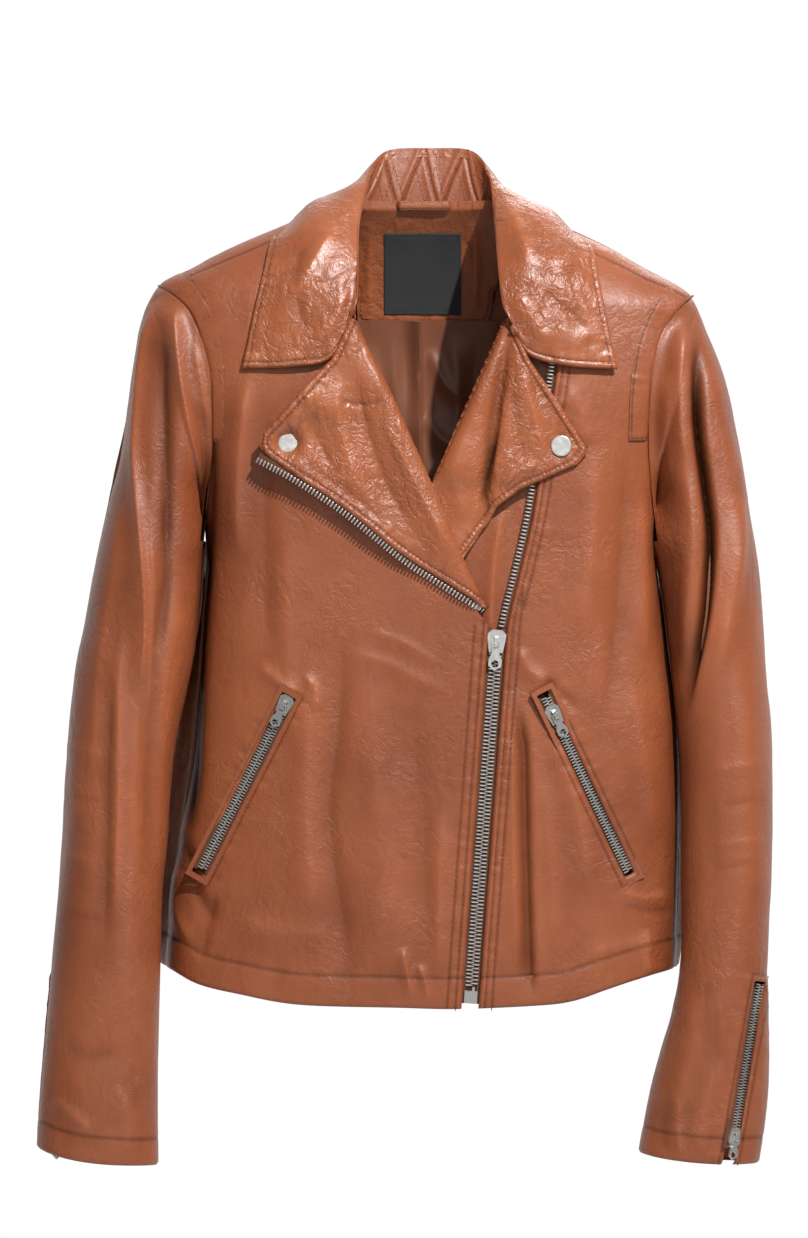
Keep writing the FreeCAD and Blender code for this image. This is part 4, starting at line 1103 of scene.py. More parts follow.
def linings():
    """Body and sleeve linings, inside the leather."""
    zs = np.arange(-14, -560, -2.2)
    s = Sheet(body_grid(zs, 240, "back", 8.0), (0, -1, 0))
    patch = [(-55, -81.5), (58, -81.5), (58, 60), (-55, 60)]
    s.trim(patch, False, 2.4).trim(closed_hem([(x, z + 24) for x, z in HEM]), False, 2.4)
    for side in ("right", "left"):
        s.trim(armhole_outline(side, -6.0), False, 2.4)
    # the centre pleat, with a slight painted highlight in its shade attribute, which the satin material does
    # not read
    s.ridge([(-3, -60), (-3, -200), (-4, -330), (-4, -480)], 5.5, 1.2, 7.0, taper=0.05, dark=0.1)
    s.ridge([(-22, -84), (-20, -150), (-26, -230), (-20, -330)], 3.0, 7, 9)
    s.ridge([(20, -84), (26, -140), (18, -210), (24, -300)], 3.4, 6, 9)
    s.ridge([(40, -84), (36, -160), (42, -260)], -2.6, 6, 7)
    s.ridge([(4, -100), (16, -128), (34, -140)], 2.2, 4, 6)
    s.ridge([(0, -150), (14, -168), (34, -172)], 2.0, 4, 7)
    s.ridge([(-40, -96), (-34, -150), (-44, -220)], 2.4, 6, 6)
    s.lift += 2.2 * noise(s.p, (26, 40, 90), 130) + 1.0 * noise(s.p, (12, 30, 38), 131)
    satin_sheet(s, "back_lining_satin", 0.5, "torso", "back_lining")

    for side, edge_x in (("right", 34), ("left", 30)):
        s = Sheet(body_grid(zs, 200, "front", 8.5), (0, 1, 0))
        if side == "right":
            low, high = zip_side(-6.9 - edge_x)
            outline = [(-80, 40), (-80, -90), (10, -288), high, low, (low[0], -640), (-330, -640), (-330, 40)]
        else:
            low, high = zip_side(6.9 + edge_x)
            outline = [(330, 40), (330, -640), (low[0], -640), low, high, (122, -120), (122, 40)]
        s.trim(outline, True, 2.6).trim(closed_hem([(x, z + 24) for x, z in HEM]), False, 2.6)
        s.trim(armhole_outline(side, -6.0), False, 2.6).trim(pocket_outline(side, 9.5, 7), False, 2.2)
        s.lift += 0.8 * noise(s.p, (30, 40, 90), 133)
        satin_sheet(s, side + "_front_lining_satin", 0.5, "torso", side + "_front_lining")

    for side in ("right", "left"):
        z = np.arange(-70, -676, -3.0)
        for half, facing in (("upper", 1), ("under", -1)):
            s = Sheet(sleeve_grid(side, z, 60, half, 8.0), (0, facing, 0))
            ring = [(x + (-6 if side == "right" else 6), zz) for x, zz in side_region(side)[:-4]]
            sign = SIGN[side]
            ring = ring + [(sign * 100, ring[-1][1]), (sign * 100, -760), (sign * 340, -760),
                           (sign * 340, 40), (ring[0][0], 40)]
            s.trim(ring, True, 3.0)
            meet_body(s, side, half, 9.0)
            if (half == "upper") == (side == "left"):
                s.trim(cuff_outline(side, 13.0, 8.0), False, 2.6)
            s.lift += 0.8 * noise(s.p, (20, 20, 60), 134)
            satin_sheet(s, f"{side}_sleeve_lining_{half}", 0.5, side + "_sleeve", side + "_sleeve_lining")


linings()


# ---- collar --------------------------------------------------------------------------------
# Fold, two middle points and outer edge, from the tip on the wearer's right, round the
# back, to the tip on the left.
COLLAR = [
    [(-51.5, -88, -80), (-67, -89.5, -112.5), (-96, -89, -118.5), (-131, -83.5, -119)],
    [(-48.5, -86, -70), (-62, -89, -76), (-93, -89, -90), (-127.5, -81, -102)],
    [(-48, -76, -48), (-64, -80, -46), (-93, -82, -56), (-123, -74, -80)],
    [(-47, -54, -16), (-62, -58, -12), (-88, -62, -20), (-116, -60, -50)],
    [(-42, -30, 10), (-57, -30, 10), (-83, -30, 0), (-110, -30, -24)],
    [(-38, -12, 25), (-50, -6, 17), (-76, 3, 1), (-98, 8, -22)],
    [(-27, 4, 40), (-34, 11, 29), (-45, 16, 3), (-54, 18, -20)],
    [(3, 8, 42), (3, 15, 31), (3, 20, 6), (3, 22, -16)],
    [(35, 4, 40), (42, 11, 29), (53, 16, 3), (62, 18, -20)],
    [(47, -12, 23), (58, -6, 15), (84, 3, -3), (108, 8, -26)],
    [(50, -30, 6), (64, -30, 7), (92, -30, -4), (121, -30, -30)],
    [(52, -54, -18), (68, -58, -14), (95, -62, -24), (126, -60, -54)],
    [(54, -76, -50), (70, -80, -48), (100, -82, -58), (131, -74, -82)],
    [(57, -86, -74), (70, -89, -80), (103, -89, -92), (135, -81, -103)],
    [(62, -88, -86), (75, -89.5, -110), (105, -89, -118), (138.5, -83.5, -119.5)],
]
NECK_SEAM = [
    (-50, -84, -84), (-53, -80, -66), (-54, -68, -44), (-53, -48, -18), (-52, -30, -2), (-48, -12, 0),
    (-30, -2, -3),
    (3, 1, -4.5), (36, -2, -3), (54, -12, -1), (58, -30, -4), (58, -48, -22), (58, -68, -48),
    (60, -80, -72), (62, -84, -88),
]


def resample(points, count):
    """Evenly spaced points on a smooth 3-D line."""
    p = spline(np.asarray(points, float), lambda a, b: 40)
    s = lengths_along(p)
    return at_lengths(np.linspace(0, s[-1], count), s, p)


def arc_lengths(grid, axis):
    step = np.linalg.norm(np.diff(grid, axis=axis), axis=2)
    zero = np.zeros_like(np.take(step, [0], axis=axis))
    return np.concatenate([zero, np.cumsum(step, axis=axis)], axis=axis)


def smooth_grid(rows, along, across):
    """A fine grid through rows of 3-D points."""
    rows = np.asarray(rows, float)
    long_way = np.stack([resample(rows[:, k], along) for k in range(rows.shape[1])], axis=1)
    return np.stack([resample(row, across) for row in long_way])


def collar():
    """Upper collar, under collar and quilted stand."""
    rows = []
    for (fold, a, b, outer), seam in zip(COLLAR, NECK_SEAM):
        fold, a, b, outer, seam = (np.array(p, float) for p in (fold, a, b, outer, seam))
        for p, rest in ((a, 6.5), (b, 7.0), (outer, 4.5)):
            if p[2] < -8 and p[1] < -25:
                p[1] = min(p[1], body_y(p[0:1], p[2:3], "front")[0] - rest)
        down = (seam - fold) / np.linalg.norm(seam - fold)
        out = (a - fold) / np.linalg.norm(a - fold)
        inner = fold + down * 7.0 - out * 1.6
        rows.append([inner, fold + (out * 0.5 - down * 0.5) * 1.0, a, b, outer])
    grid = smooth_grid(rows, 560, 74)
    s = Sheet(grid, (0, 1, 0))
    v = arc_lengths(grid, 1)
    u = arc_lengths(grid, 0)
    to_edge = (v[:, -1:] - v).ravel()
    along_outer = np.repeat(u[:, -1:], grid.shape[1], axis=1).ravel()
    ends = np.minimum(u, u[-1:, :] - u)
    s.edge_at(to_edge, along_outer, stitch=4.4, pucker=0.3, pitch=4.0, seed=141, ribs=0.16)
    s.edge_at(ends.ravel(), v.ravel(), stitch=4.4, pucker=0.3, pitch=4.0, seed=142, ribs=0.16)
    inner_part = (v < 9.0).ravel()
    s.lift[inner_part] *= 0.3
    s.crumple(broad=1.1, fine=0.28, seed=143, stretch=(1, 1, 1), mask_size=46, creases=0.45)
    # creases that radiate from the roll towards the tips
    s.ridge([(-60, -10), (-78, -40), (-100, -78)], 1.8, 6, 7)
    s.ridge([(-86, -24), (-92, -60), (-84, -100)], -1.5, 5, 7)
    s.ridge([(-54, -58), (-64, -84), (-80, -104)], 1.5, 4, 6)
    s.ridge([(66, -22), (84, -40), (112, -46)], 1.6, 6, 8)
    s.ridge([(84, -62), (104, -80), (118, -96)], -1.3, 5, 7)
    s.ridge([(64, -60), (76, -82), (92, -104)], 1.4, 4, 6)
    s.ridge([(58, 8), (70, -24), (74, -60)], 1.4, 6, 7)
    obj = finish_sheet(s, "collar_leaf", GLAZED_PAINTED_HIGHLIGHT, 1.3)
    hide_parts("upper_collar")
    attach(obj, "torso")

    under = [[np.array(p, float) for p in row] for row in rows]
    lower = []
    for row in under:
        lower.append([row[1] + (row[0] - row[1]) * 0.35, row[2] + (row[1] - row[2]) * 0.5, row[2], row[3],
                      row[4] + (row[3] - row[4]) * 0.03])
    grid2 = smooth_grid([[r[1], r[2], r[3], r[4]] for r in lower], 300, 40)
    s2 = Sheet(grid2, (0, 1, 0), offset=-2.6)
    s2.crumple(broad=0.6, fine=0.1, seed=144)
    plain(s2, "collar_under", INNER, 1.1, "torso", "under_collar")

    # the stand: quilted by zigzag rows of stitching, from the neck seam up to the fold
    stand_rows = []
    for row, seam in zip(rows, NECK_SEAM):
        top, seam = row[0], np.array(seam, float)
        stand_rows.append([seam, (seam + top) / 2 + (top - row[2]) / np.linalg.norm(top - row[2]) * 0.8,
                           row[1] - (row[2] - row[1]) / np.linalg.norm(row[2] - row[1]) * 1.0])
    grid3 = smooth_grid(stand_rows, 460, 44)
    s3 = Sheet(grid3, (0, -1, 0))
    u3, v3 = arc_lengths(grid3, 0), arc_lengths(grid3, 1)
    mid_u = u3[u3.shape[0] // 2:u3.shape[0] // 2 + 1, :]
    a = (u3 - mid_u)
    height = v3 / np.maximum(v3[:, -1:], 1e-6)
    zig = np.abs(((a / 30.0 + 0.25) % 1.0) * 2 - 1)
    near_zig = np.abs(zig - height) * 30.0
    on = (np.abs(a) < 66) & (v3[:, -1:] > 20)
    s3.lift += (on * (-0.8 * bell(near_zig, 1.6) + 0.7 * bell(near_zig - 6, 4.5))).ravel()
    # painted shade along the quilting grooves
    s3.shade -= (on * 0.35 * bell(near_zig, 1.3)).ravel()
    s3.crumple(broad=0.6, fine=0.2, seed=145, stretch=(1, 1, 1))
    plain(s3, "collar_stand_quilted", LEATHER, 1.2, "torso", "collar_stand")
    return s, s3


collar_sheet, stand_sheet = collar()


# ---- inside of the neck ------------------------------------------------------------------------
def neck_inside():
    """The leather facing inside the neck, and the blank label on it."""
    zs = np.arange(4, -88, -1.0)
    s = Sheet(body_grid(zs, 420, "back", 5.5), (0, -1, 0))
    outline = [(-57, -20), (-49, -60), (-48, -83), (-20, -85.5), (24, -85.5), (47, -83), (52, -60),
               (61, -20), (61, 10), (-57, 10)]
    s.trim(outline, True, 1.6)
    s.edge([(-49, -60), (-48, -83), (-20, -85.5), (24, -85.5), (47, -83), (52, -60)], stitch=3.2,
           pucker=0.3, seed=151)
    s.ridge([(36, -10), (38, -40), (37, -80)], 1.4, 3.0, 4.0)
    s.ridge([(-38, -10), (-40, -50), (-38, -80)], 1.0, 4, 4)
    s.crumple(broad=0.9, fine=0.25, seed=152, stretch=(1, 1, 1))
    plain(s, "back_neck_facing_leather", LEATHER, 1.2, "torso", "back_neck_facing")

    # the blank label: a woven patch, folded under at its edges
    half_w, half_h = 28.0, 29.0
    cx, cz = -0.7, -48.5
    xs, ws = np.linspace(-half_w, half_w, 90), np.linspace(-half_h, half_h, 92)
    grid = np.zeros((92, 90, 3))
    grid[..., 0] = cx + xs[None, :]
    grid[..., 2] = cz - ws[:, None]
    px, pz = grid[..., 0].ravel(), grid[..., 2].ravel()
    grid[..., 1] = (body_y(px, pz + 5.5, "back") - 5.5 - 1.6).reshape(grid.shape[:2])
    lab = Sheet(grid, (0, -1, 0))
    to_side = np.minimum(half_w - np.abs(grid[..., 0] - cx), half_h - np.abs(grid[..., 2] - cz)).ravel()
    lab.lift += -0.5 * bell(to_side, 0.7) + 0.35 * noise(lab.p, 17, 153) + 0.15 * noise(lab.p, 6, 154)
    lab.lift -= 0.25 * bell(to_side - 2.2, 0.6)
    plain(lab, "label_blank", LABEL, 0.5, "torso", "neck_label")
    return s


neck_sheet = neck_inside()


def hang_loop():
    """A folded strip of leather, its ends slanted and sewn down, its middle standing free."""
    n = 120
    t = np.linspace(-1, 1, n)
    x = t * 27.0
    gap = 8.2 * (1 - smoothstep((np.abs(t) - 0.62) / 0.3))
    rows = []
    for w in np.linspace(-1, 1, 15):
        z = w * 3.3 + 0.4
        skew = -w * 3.2 * np.sign(t) * smoothstep((np.abs(t) - 0.7) / 0.3)
        y = -3.4 - gap + 0.6 * w * w
        rows.append(np.stack([x + skew, y, np.full(n, z)], axis=1))
    grid = np.stack(rows)
    s = Sheet(grid, (0, -1, 0))
    w = np.abs(np.linspace(-1, 1, 15))[:, None] * np.ones((1, n)) * 3.3
    s.lift += (-0.5 * np.exp(-((3.3 - w) / 0.6) ** 2) - 0.35 * bell(w - 2.2, 0.5)).ravel()
    # painted shade along the sewn groove
    s.shade -= (0.4 * bell(w - 2.2, 0.5)).ravel()
    s.lift += 0.15 * noise(s.p, 7, 160)
    plain(s, "hang_loop_strip", LEATHER, 1.5, "torso", "hang_loop")


hang_loop()


# ---- lapels and the flap behind the zip ------------------------------------------------------
def height_field(x0, x1, z0, z1, cell, depth_at):
    """A sheet that is a depth over front view."""
    xs, zs = np.arange(x0, x1, cell), np.arange(z1, z0, -cell)
    grid = np.zeros((len(zs), len(xs), 3))
    grid[..., 0], grid[..., 2] = xs[None, :], zs[:, None]
    grid[..., 1] = depth_at(grid[..., 0].ravel(), grid[..., 2].ravel()).reshape(grid.shape[:2])
    return Sheet(grid, (0, -1, 0))


def across(a, b, x, z):
    """Distance of points to the right of the line from a to b, seen from the front, and share along it."""
    ux, uz = b[0] - a[0], b[1] - a[1]
    length = math.hypot(ux, uz)
    ux, uz = ux / length, uz / length
    return (x - a[0]) * -uz + (z - a[1]) * ux, ((x - a[0]) * ux + (z - a[1]) * uz) / length


LAPEL_LOWER = [(-115, -180), (-90, -198), (-54, -222), (-14, -254), (20, -276), (41, -289)]


def seat(x, z, at, depth):
    """Brings a floating height to a set depth where a snap holds it."""
    r = np.hypot(x - at[0], z - at[1])
    w = bell(r, 10.0)
    return lambda h: h * (1 - w) + depth * w


def right_lapel_depth(x, z):
    """How far forward the right lapel lies at points in front view."""
    d = -across(ROLL_TOP, ROLL_FOOT, x, z)[0]
    chest = np.minimum(body_y(x, z, "front"), -77)
    under = np.clip(1 - d / 6.0, 0, 1)
    wave = noise(np.stack([x, z, z * 0], axis=1), 34, 170)
    float_off = 6.6 + 2.6 * bell(d - 10, 13) + (1.4 + 3.2 * smoothstep((d - 30) / 30)) * wave
    float_off += 4.6 * smoothstep((d - 22) / 34)
    float_off = seat(x, z, (-97, -173), 4.6)(float_off)
    tail = smoothstep((z + 296) / 50)
    turned = 6.0 * (1 - np.sqrt(np.maximum(1 - under ** 2, 0)))
    return chest - 2.6 - (float_off - 2.6) * (0.35 + 0.65 * tail) + turned


def right_lapel():
    """The right lapel, turned back and snapped down."""
    s = height_field(-122, 52, -298, -78, 0.75, right_lapel_depth)
    lower = [tuple(p) for p in curve(LAPEL_LOWER, 2.5)]
    outline = [(-46, -88), ROLL_TOP, ROLL_FOOT] + lower[::-1] + [(-117.5, -176), (-116.5, -168),
                                                                 (-66.5, -112.5), (-52.5, -83)]
    s.trim(outline, True, 1.1)
    outer = [(-52.5, -83), (-66.5, -112.5), (-116.0, -167.0), (-117.0, -176), (-114, -181)] + lower[1:]
    s.edge(outer, stitch=4.8, roll=1.2, puff=0.5, pucker=0.3, pitch=4.0, smooth=False, seed=171, ribs=0.2)
    s.ridge([(-38, -98), (-22, -140), (2, -190), (26, -244)], 1.2, 5, 7)
    s.ridge([(-60, -120), (-62, -150), (-52, -190), (-34, -226)], 1.6, 5, 6)
    s.ridge([(-82, -150), (-74, -176), (-60, -200)], -1.5, 5, 6)
    s.ridge([(-96, -182), (-76, -194), (-50, -212), (-20, -236)], -0.9, 4, 4)
    s.ridge([(-50, -118), (-44, -150), (-30, -196), (-8, -236)], -1.3, 4, 5)
    s.ridge([(-30, -150), (-14, -186), (6, -226), (20, -256)], 1.4, 3.5, 4.5)
    s.ridge([(-64, -142), (-44, -146), (-26, -142)], -0.8, 2.2, 2.6)
    s.crumple(broad=0.9, fine=0.5, seed=172, stretch=(0.55, 1, 1.3), mask_size=46, creases=0.5)
    obj = finish_sheet(s, "right_lapel_leaf", GLAZED_PAINTED_HIGHLIGHT, 1.3)
    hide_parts("right_lapel")
    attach(obj, "right_lapel_flap")
    return s, outer


LEFT_LAPEL = [(58, -84), (6.0, -201.5), (0, -208), (22, -259), (29, -254), (44, -232), (51, -219.6),
              (69, -206.5), (88, -198.5),
              (108.6, -189), (117.2, -179), (117.2, -176), (75.5, -113), (62, -83)]


def left_lapel_depth(x, z):
    """How far forward the left lapel lies at points in front view."""
    chest = np.minimum(body_y(x, z, "front"), -77)
    v_edge, _, _ = nearest(polyline([(60, -80), (6.5, -202)], 2.0), x, z, 60.0)
    under = np.clip(1 - np.abs(v_edge) / 9.0, 0, 1)
    low_edge = across((6.5, -202), (27, -254), x, z)[0]
    d = across(CREASE_TOP, CREASE_FOOT, x, z)[0]
    d = -d
    float_off = 6.0 + 1.1 * noise(np.stack([x, z, z * 0], axis=1), 40, 180)
    float_off += 2.4 * bell(d + 14, 10) - 2.4 * bell(d, 4.5) + 1.6 * bell(d - 16, 12)
    float_off = seat(x, z, (98, -175), 4.6)(float_off)
    tucked = smoothstep((18 + low_edge) / 18) * smoothstep((-186 - z) / 24)
    return chest - float_off + 7.0 * (1 - np.sqrt(np.maximum(1 - under ** 2,
                                                             0))) * (1 - tucked) + 4.6 * tucked


def left_lapel():
    """The left lapel, turned back and snapped down."""
    s = height_field(2, 122, -258, -80, 0.75, left_lapel_depth)
    s.trim([LEFT_LAPEL[0]] + LEFT_LAPEL[1:], True, 1.1)
    outer = [(28, -253), (44, -232), (51, -219.6), (69, -206.5), (88, -198.5), (108, -189.3), (117, -177.5),
             (75.5, -113), (62, -84)]
    s.edge(outer, stitch=4.6, roll=1.2, puff=0.5, pucker=0.3, pitch=4.0, smooth=False, seed=181, ribs=0.2)
    # the crease where the lapel turns, with painted shade along it
    s.ridge([CREASE_TOP, (54, -140), (48, -180), (45, -222)], -1.4, 2.6, 6.0, taper=0.3, dark=-0.2)
    s.step([(58, -120), (53, -160), (47, -190), (43.5, -212), (46, -228)], 3.0, 2.2, 12, taper=0.3)
    s.ridge([(53, -160), (47.5, -190), (44, -212), (46, -228)], -1.6, 1.6, 2.2, taper=0.3, dark=-0.7)
    s.ridge([(68, -118), (78, -150), (86, -186)], 1.4, 4, 5)
    s.ridge([(78, -124), (92, -152), (104, -176)], -1.0, 4, 5)
    s.ridge([(62, -130), (66, -160), (72, -190)], -1.2, 4, 5)
    s.ridge([(52, -204), (66, -194), (84, -186)], 1.2, 4, 4)
    s.ridge([(30, -160), (22, -196), (30, -232)], 1.0, 8, 8)
    s.crumple(broad=0.8, fine=0.3, seed=182, stretch=(0.7, 1, 1.5), mask_size=50, creases=0.3)
    obj = finish_sheet(s, "left_lapel_leaf", GLAZED_PAINTED_HIGHLIGHT, 1.3)
    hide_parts("left_lapel")
    bend_left_lapel(obj)
    return s, outer


def bend_left_lapel(obj):
    """Bakes the lapel piece's placement into its mesh."""
    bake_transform(obj)


right_lapel_sheet, right_lapel_edge = right_lapel()
left_lapel_sheet, left_lapel_edge = left_lapel()


def wind_flap():
    """The strip of leather behind the main zip."""
    zs = np.arange(-80, -580, -1.6)
    s = Sheet(body_grid(zs, 420, "front", 7.0), (0, -1, 0))
    s.trim([(66, -84), (13, -203), (24, -246), (26, -300), (10, -574), (60, -574), (79, -300), (98, -120),
            (98, -84)], True, 2.0)
    s.ridge([(58, -210), (50, -260), (46, -330)], 2.0, 4, 6)
    s.crumple(broad=1.0, fine=0.15, seed=190)
    plain(s, "wind_flap_leather", LEATHER, 1.3, "torso", "wind_flap")


wind_flap()


def hem_inside():
    """The turned-up hem, inside."""
    zs = np.arange(-530, -592, -1.6)
    for half, facing in (("front", 1), ("back", -1)):
        s = Sheet(body_grid(zs, 300, half, 2.6), (0, facing, 0))
        s.trim(closed_hem([(x, z + 1.2) for x, z in HEM]),
               False).trim(closed_hem([(x, z + 22) for x, z in HEM]), True)
        if half == "front":
            (a, b), (c, d) = zip_side(-9.5), zip_side(9.5)
            s.trim([a, b, d, c], False)
        plain(s, "hem_turn_" + half, LEATHER, 1.2, "torso", "hem_facing")


hem_inside()


# ---- zips ---------------------------------------------------------------------------------------
def teeth(name, centre, side_vectors, outward, pitch, reach, body, node_names, phase=0.0, scale=1.0):
    """A row of single teeth along a 3-D line; side_vectors point from the tape to the teeth's tips."""
    centre = np.asarray(centre, float)
    lengths = np.concatenate([[0], np.cumsum(np.linalg.norm(np.diff(centre, axis=0), axis=1))])
    at = np.arange(phase * pitch + 0.4 * pitch, lengths[-1], pitch)
    pos = np.stack([np.interp(at, lengths, centre[:, k]) for k in range(3)], axis=1)
    side = np.stack([np.interp(at, lengths, np.asarray(side_vectors, float)[:, k]) for k in range(3)], axis=1)
    side /= np.linalg.norm(side, axis=1, keepdims=True)
    along = np.stack([np.interp(np.minimum(at + 0.5, lengths[-1]), lengths,
                                centre[:, k]) - np.interp(at - 0.5, lengths, centre[:, k])
                      for k in range(3)], axis=1)
    along /= np.linalg.norm(along, axis=1, keepdims=True)
    up = np.cross(along, side)
    up *= np.sign((up @ np.asarray(outward, float)))[:, None]
    up /= np.linalg.norm(up, axis=1, keepdims=True)
    sections = [(-1.0, 1.3, 0.5), (-0.7, 1.45, 0.66), (1.2, 1.3, 0.66), (2.4, 1.15, 0.62), (reach, 0.7, 0.36)]
    ring = [(-1, -0.55), (-0.6, -1), (0.6, -1), (1, -0.55), (1, 0.55), (0.6, 1), (-0.6, 1), (-1, 0.55)]
    points, faces = [], []
    for k in range(len(pos)):
        base = len(points)
        for c, half_n, half_t in sections:
            for a, b in ring:
                points.append(pos[k] + scale * (side[k] * c + along[k] * (a * half_t) + up[k] * (b * half_n)))
        for r in range(len(sections) - 1):
            for q in range(8):
                i, j = base + r * 8 + q, base + r * 8 + (q + 1) % 8
                faces.append((i, j, j + 8, i + 8))
        faces.append(tuple(base + q for q in range(7, -1, -1)))
        faces.append(tuple(base + (len(sections) - 1) * 8 + q for q in range(8)))
    obj = make_mesh(name, points, faces, TEETH, sharp=38)
    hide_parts(*node_names)
    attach(obj, body)
    return obj


def zip_frame(foot, head, out):
    foot, head, out = (np.asarray(v, float) for v in (foot, head, out))
    up = (head - foot) / np.linalg.norm(head - foot)
    out = out - up * out.dot(up)
    out /= np.linalg.norm(out)
    return foot, up, out, np.cross(out, up), np.linalg.norm(head - foot)


def closed_rows(prefix, foot, head, out, body, start, stop, pitch, edge, scale, node_name):
    """Two meshed rows between start and stop along a straight zip."""
    foot, up, out, left, length = zip_frame(foot, head, out)
    for k, sign in enumerate((1, -1)):
        line = [foot + up * start + left * sign * edge, foot + up * (length - stop) + left * sign * edge]
        row = node_name if isinstance(node_name, str) else node_name[k]
        teeth(f"{prefix}_row_{'ab'[k]}", line, [-left * sign] * 2, out, pitch, (edge + 0.6) / scale, body,
              [row], phase=0.5 * k, scale=scale)


MAIN_Y = -80.5


def main_zip():
    """The teeth of the main zip: both rows below the slider, and the left row above it."""
    foot, head = (ZIP_FOOT[0], MAIN_Y, ZIP_FOOT[1]), (ZIP_TOP[0], MAIN_Y, ZIP_TOP[1])
    closed_rows("main_zip", foot, head, (0, -1, 0), "torso", 12.0, 2.0, 2.7, 3.4, 1.0,
                ("main_zip_right_teeth", "main_zip_left_teeth"))
    line = curve([(ZIP_TOP[0] + 3.6, ZIP_TOP[1])] + [(x + 3.4, z) for x, z in ZIP_UPPER[1:]], 1.5)
    d = np.gradient(line, axis=0)
    side = np.stack([-d[:, 1], np.zeros(len(d)), d[:, 0]], axis=1)
    centre = np.stack([line[:, 0], np.full(len(line), MAIN_Y), line[:, 1]], axis=1)
    teeth("main_zip_upper_row", centre, side, (0, -1, 0), 2.7, 3.2, "torso", ["main_zip_left_teeth"])


def lapel_zip():
    """The free row along the right lapel's lower edge, on its soft tape."""
    line = curve([(-118.5, -182.5)] + LAPEL_LOWER[1:] + [(44.5, -291.5)], 1.5)
    d = np.gradient(line, axis=0)
    d /= np.linalg.norm(d, axis=1, keepdims=True)
    down = np.stack([d[:, 1], -d[:, 0]], axis=1)
    down *= np.sign(-down[:, 1:2])
    s_len = np.arange(len(line)) * 1.5
    wave = noise(np.stack([s_len, 0 * s_len, 0 * s_len], axis=1), 26, 191)
    edge_y = right_lapel_depth(line[:, 0] - down[:, 0] * 3, line[:, 1] - down[:, 1] * 3)
    rows = []
    for c in np.linspace(-3.6, 2.4, 10):
        x, z = line[:, 0] + down[:, 0] * c, line[:, 1] + down[:, 1] * c
        y = edge_y + 1.9 + (0.5 + 0.5 * wave) * np.clip(c, 0, 9) * 0.22
        rows.append(np.stack([x, y, z], axis=1))
    tape = Sheet(np.stack(rows), (0, -1, 0))
    plain(tape, "right_lapel_tape", TAPE, 0.6, "right_lapel_flap", "right_lapel_zip_tape")
    c = 1.7
    y = edge_y + 1.3 + (0.5 + 0.5 * wave) * c * 0.22
    centre = np.stack([line[:, 0] + down[:, 0] * c, y, line[:, 1] + down[:, 1] * c], axis=1)
    side = np.stack([down[:, 0], 0.12 * np.ones(len(d)), down[:, 1]], axis=1)
    teeth("right_lapel_row", centre, side, (0, -1, 0), 2.7, 3.2, "right_lapel_flap",
          ["right_lapel_zip_teeth"])


def fine_zips():
    """The teeth of the pocket and cuff zips."""
    for side in ("right", "left"):
        out = (0.32 if side == "left" else -0.32, -1, 0)
        lifted = 1.2 * np.asarray(out) / np.linalg.norm(out)
        foot, head = (np.asarray(end, float) + lifted for end in POCKETS[side])
        name = side + "_pocket_zip_teeth"
        closed_rows(side + "_pocket", foot, head, out, "torso", 1.8, 0.6, 2.2, 2.7, 0.8, name)
        head, foot, out = CUFF_ZIPS[side]
        head, foot = (np.asarray(end, float) + 1.0 * np.asarray(out) for end in (head, foot))
        closed_rows(side + "_cuff", foot, head, out, side + "_sleeve", 1.0, 0.6, 2.1, 2.6, 0.76,
                    side + "_cuff_zip_teeth")


main_zip()
lapel_zip()
fine_zips()


# ---- stitches --------------------------------------------------------------------------------------
THREADS = {}


def surface_depth(sheet, line, x, z):
    """Depth of a sheet's face under points beside a line."""
    used = np.unique(sheet.faces)
    face = (sheet.p + sheet.n * sheet.lift[:, None])[used]
    d, _, _ = nearest(line, face[:, 0], face[:, 2], 3.0)
    face = face[np.abs(d) < 2.9]
    if len(face) < 8:
        return None
    out = np.zeros(len(x))
    for k in range(len(x)):
        r = (face[:, 0] - x[k]) ** 2 + (face[:, 2] - z[k]) ** 2
        best = np.argpartition(r, 4)[:4]
        w = 1 / (r[best] + 0.02)
        out[k] = (face[best, 1] * w).sum() / w.sum() if r[best].min() < 4 else np.nan
    return out


def stitch(sheet, line, group, pitch=3.3):
    """Thread along a line in front view, lying on a sheet."""
    length, radius, sink = 2.1, 0.34, -0.08
    line = polyline(line, 1.0)
    total = lengths_along(line)
    start = np.arange(0.8, total[-1] - length - 0.5, pitch)
    both = np.concatenate([start, start + length])
    x, z = np.interp(both, total, line[:, 0]), np.interp(both, total, line[:, 1])
    y = surface_depth(sheet, line, x, z)
    if y is None:
        return
    y += sink
    a, b = np.split(np.stack([x, y, z], axis=1), 2)
    good = ~np.isnan(a[:, 1]) & ~np.isnan(b[:, 1]) & (np.abs(a[:, 1] - b[:, 1]) < 2.0)
    points, faces = THREADS.setdefault(group, ([], []))
    for p, q in zip(a[good], b[good]):
        t = (q - p) / np.linalg.norm(q - p)
        u = np.cross(t, (0, 1, 0))
        u /= np.linalg.norm(u)
        v = np.cross(t, u)
        base = len(points)
        for share, r in ((0.0, 0.4), (0.14, 1.0), (0.86, 1.0), (1.0, 0.4)):
            for k in range(6):
                angle = math.pi * k / 3
                points.append(p + (q - p) * share + radius * r * (u * math.cos(angle) + v * math.sin(angle)))
        for r in range(3):
            for k in range(6):
                i, j = base + r * 6 + k, base + r * 6 + (k + 1) % 6
                faces.append((i, j, j + 6, i + 6))
        faces.append(tuple(base + k for k in range(5, -1, -1)))
        faces.append(tuple(base + 18 + k for k in range(6)))


def inset(line, offset):
    """A line moved sideways, to its right if offset is positive."""
    return shift(polyline(line, 1.0), -offset)


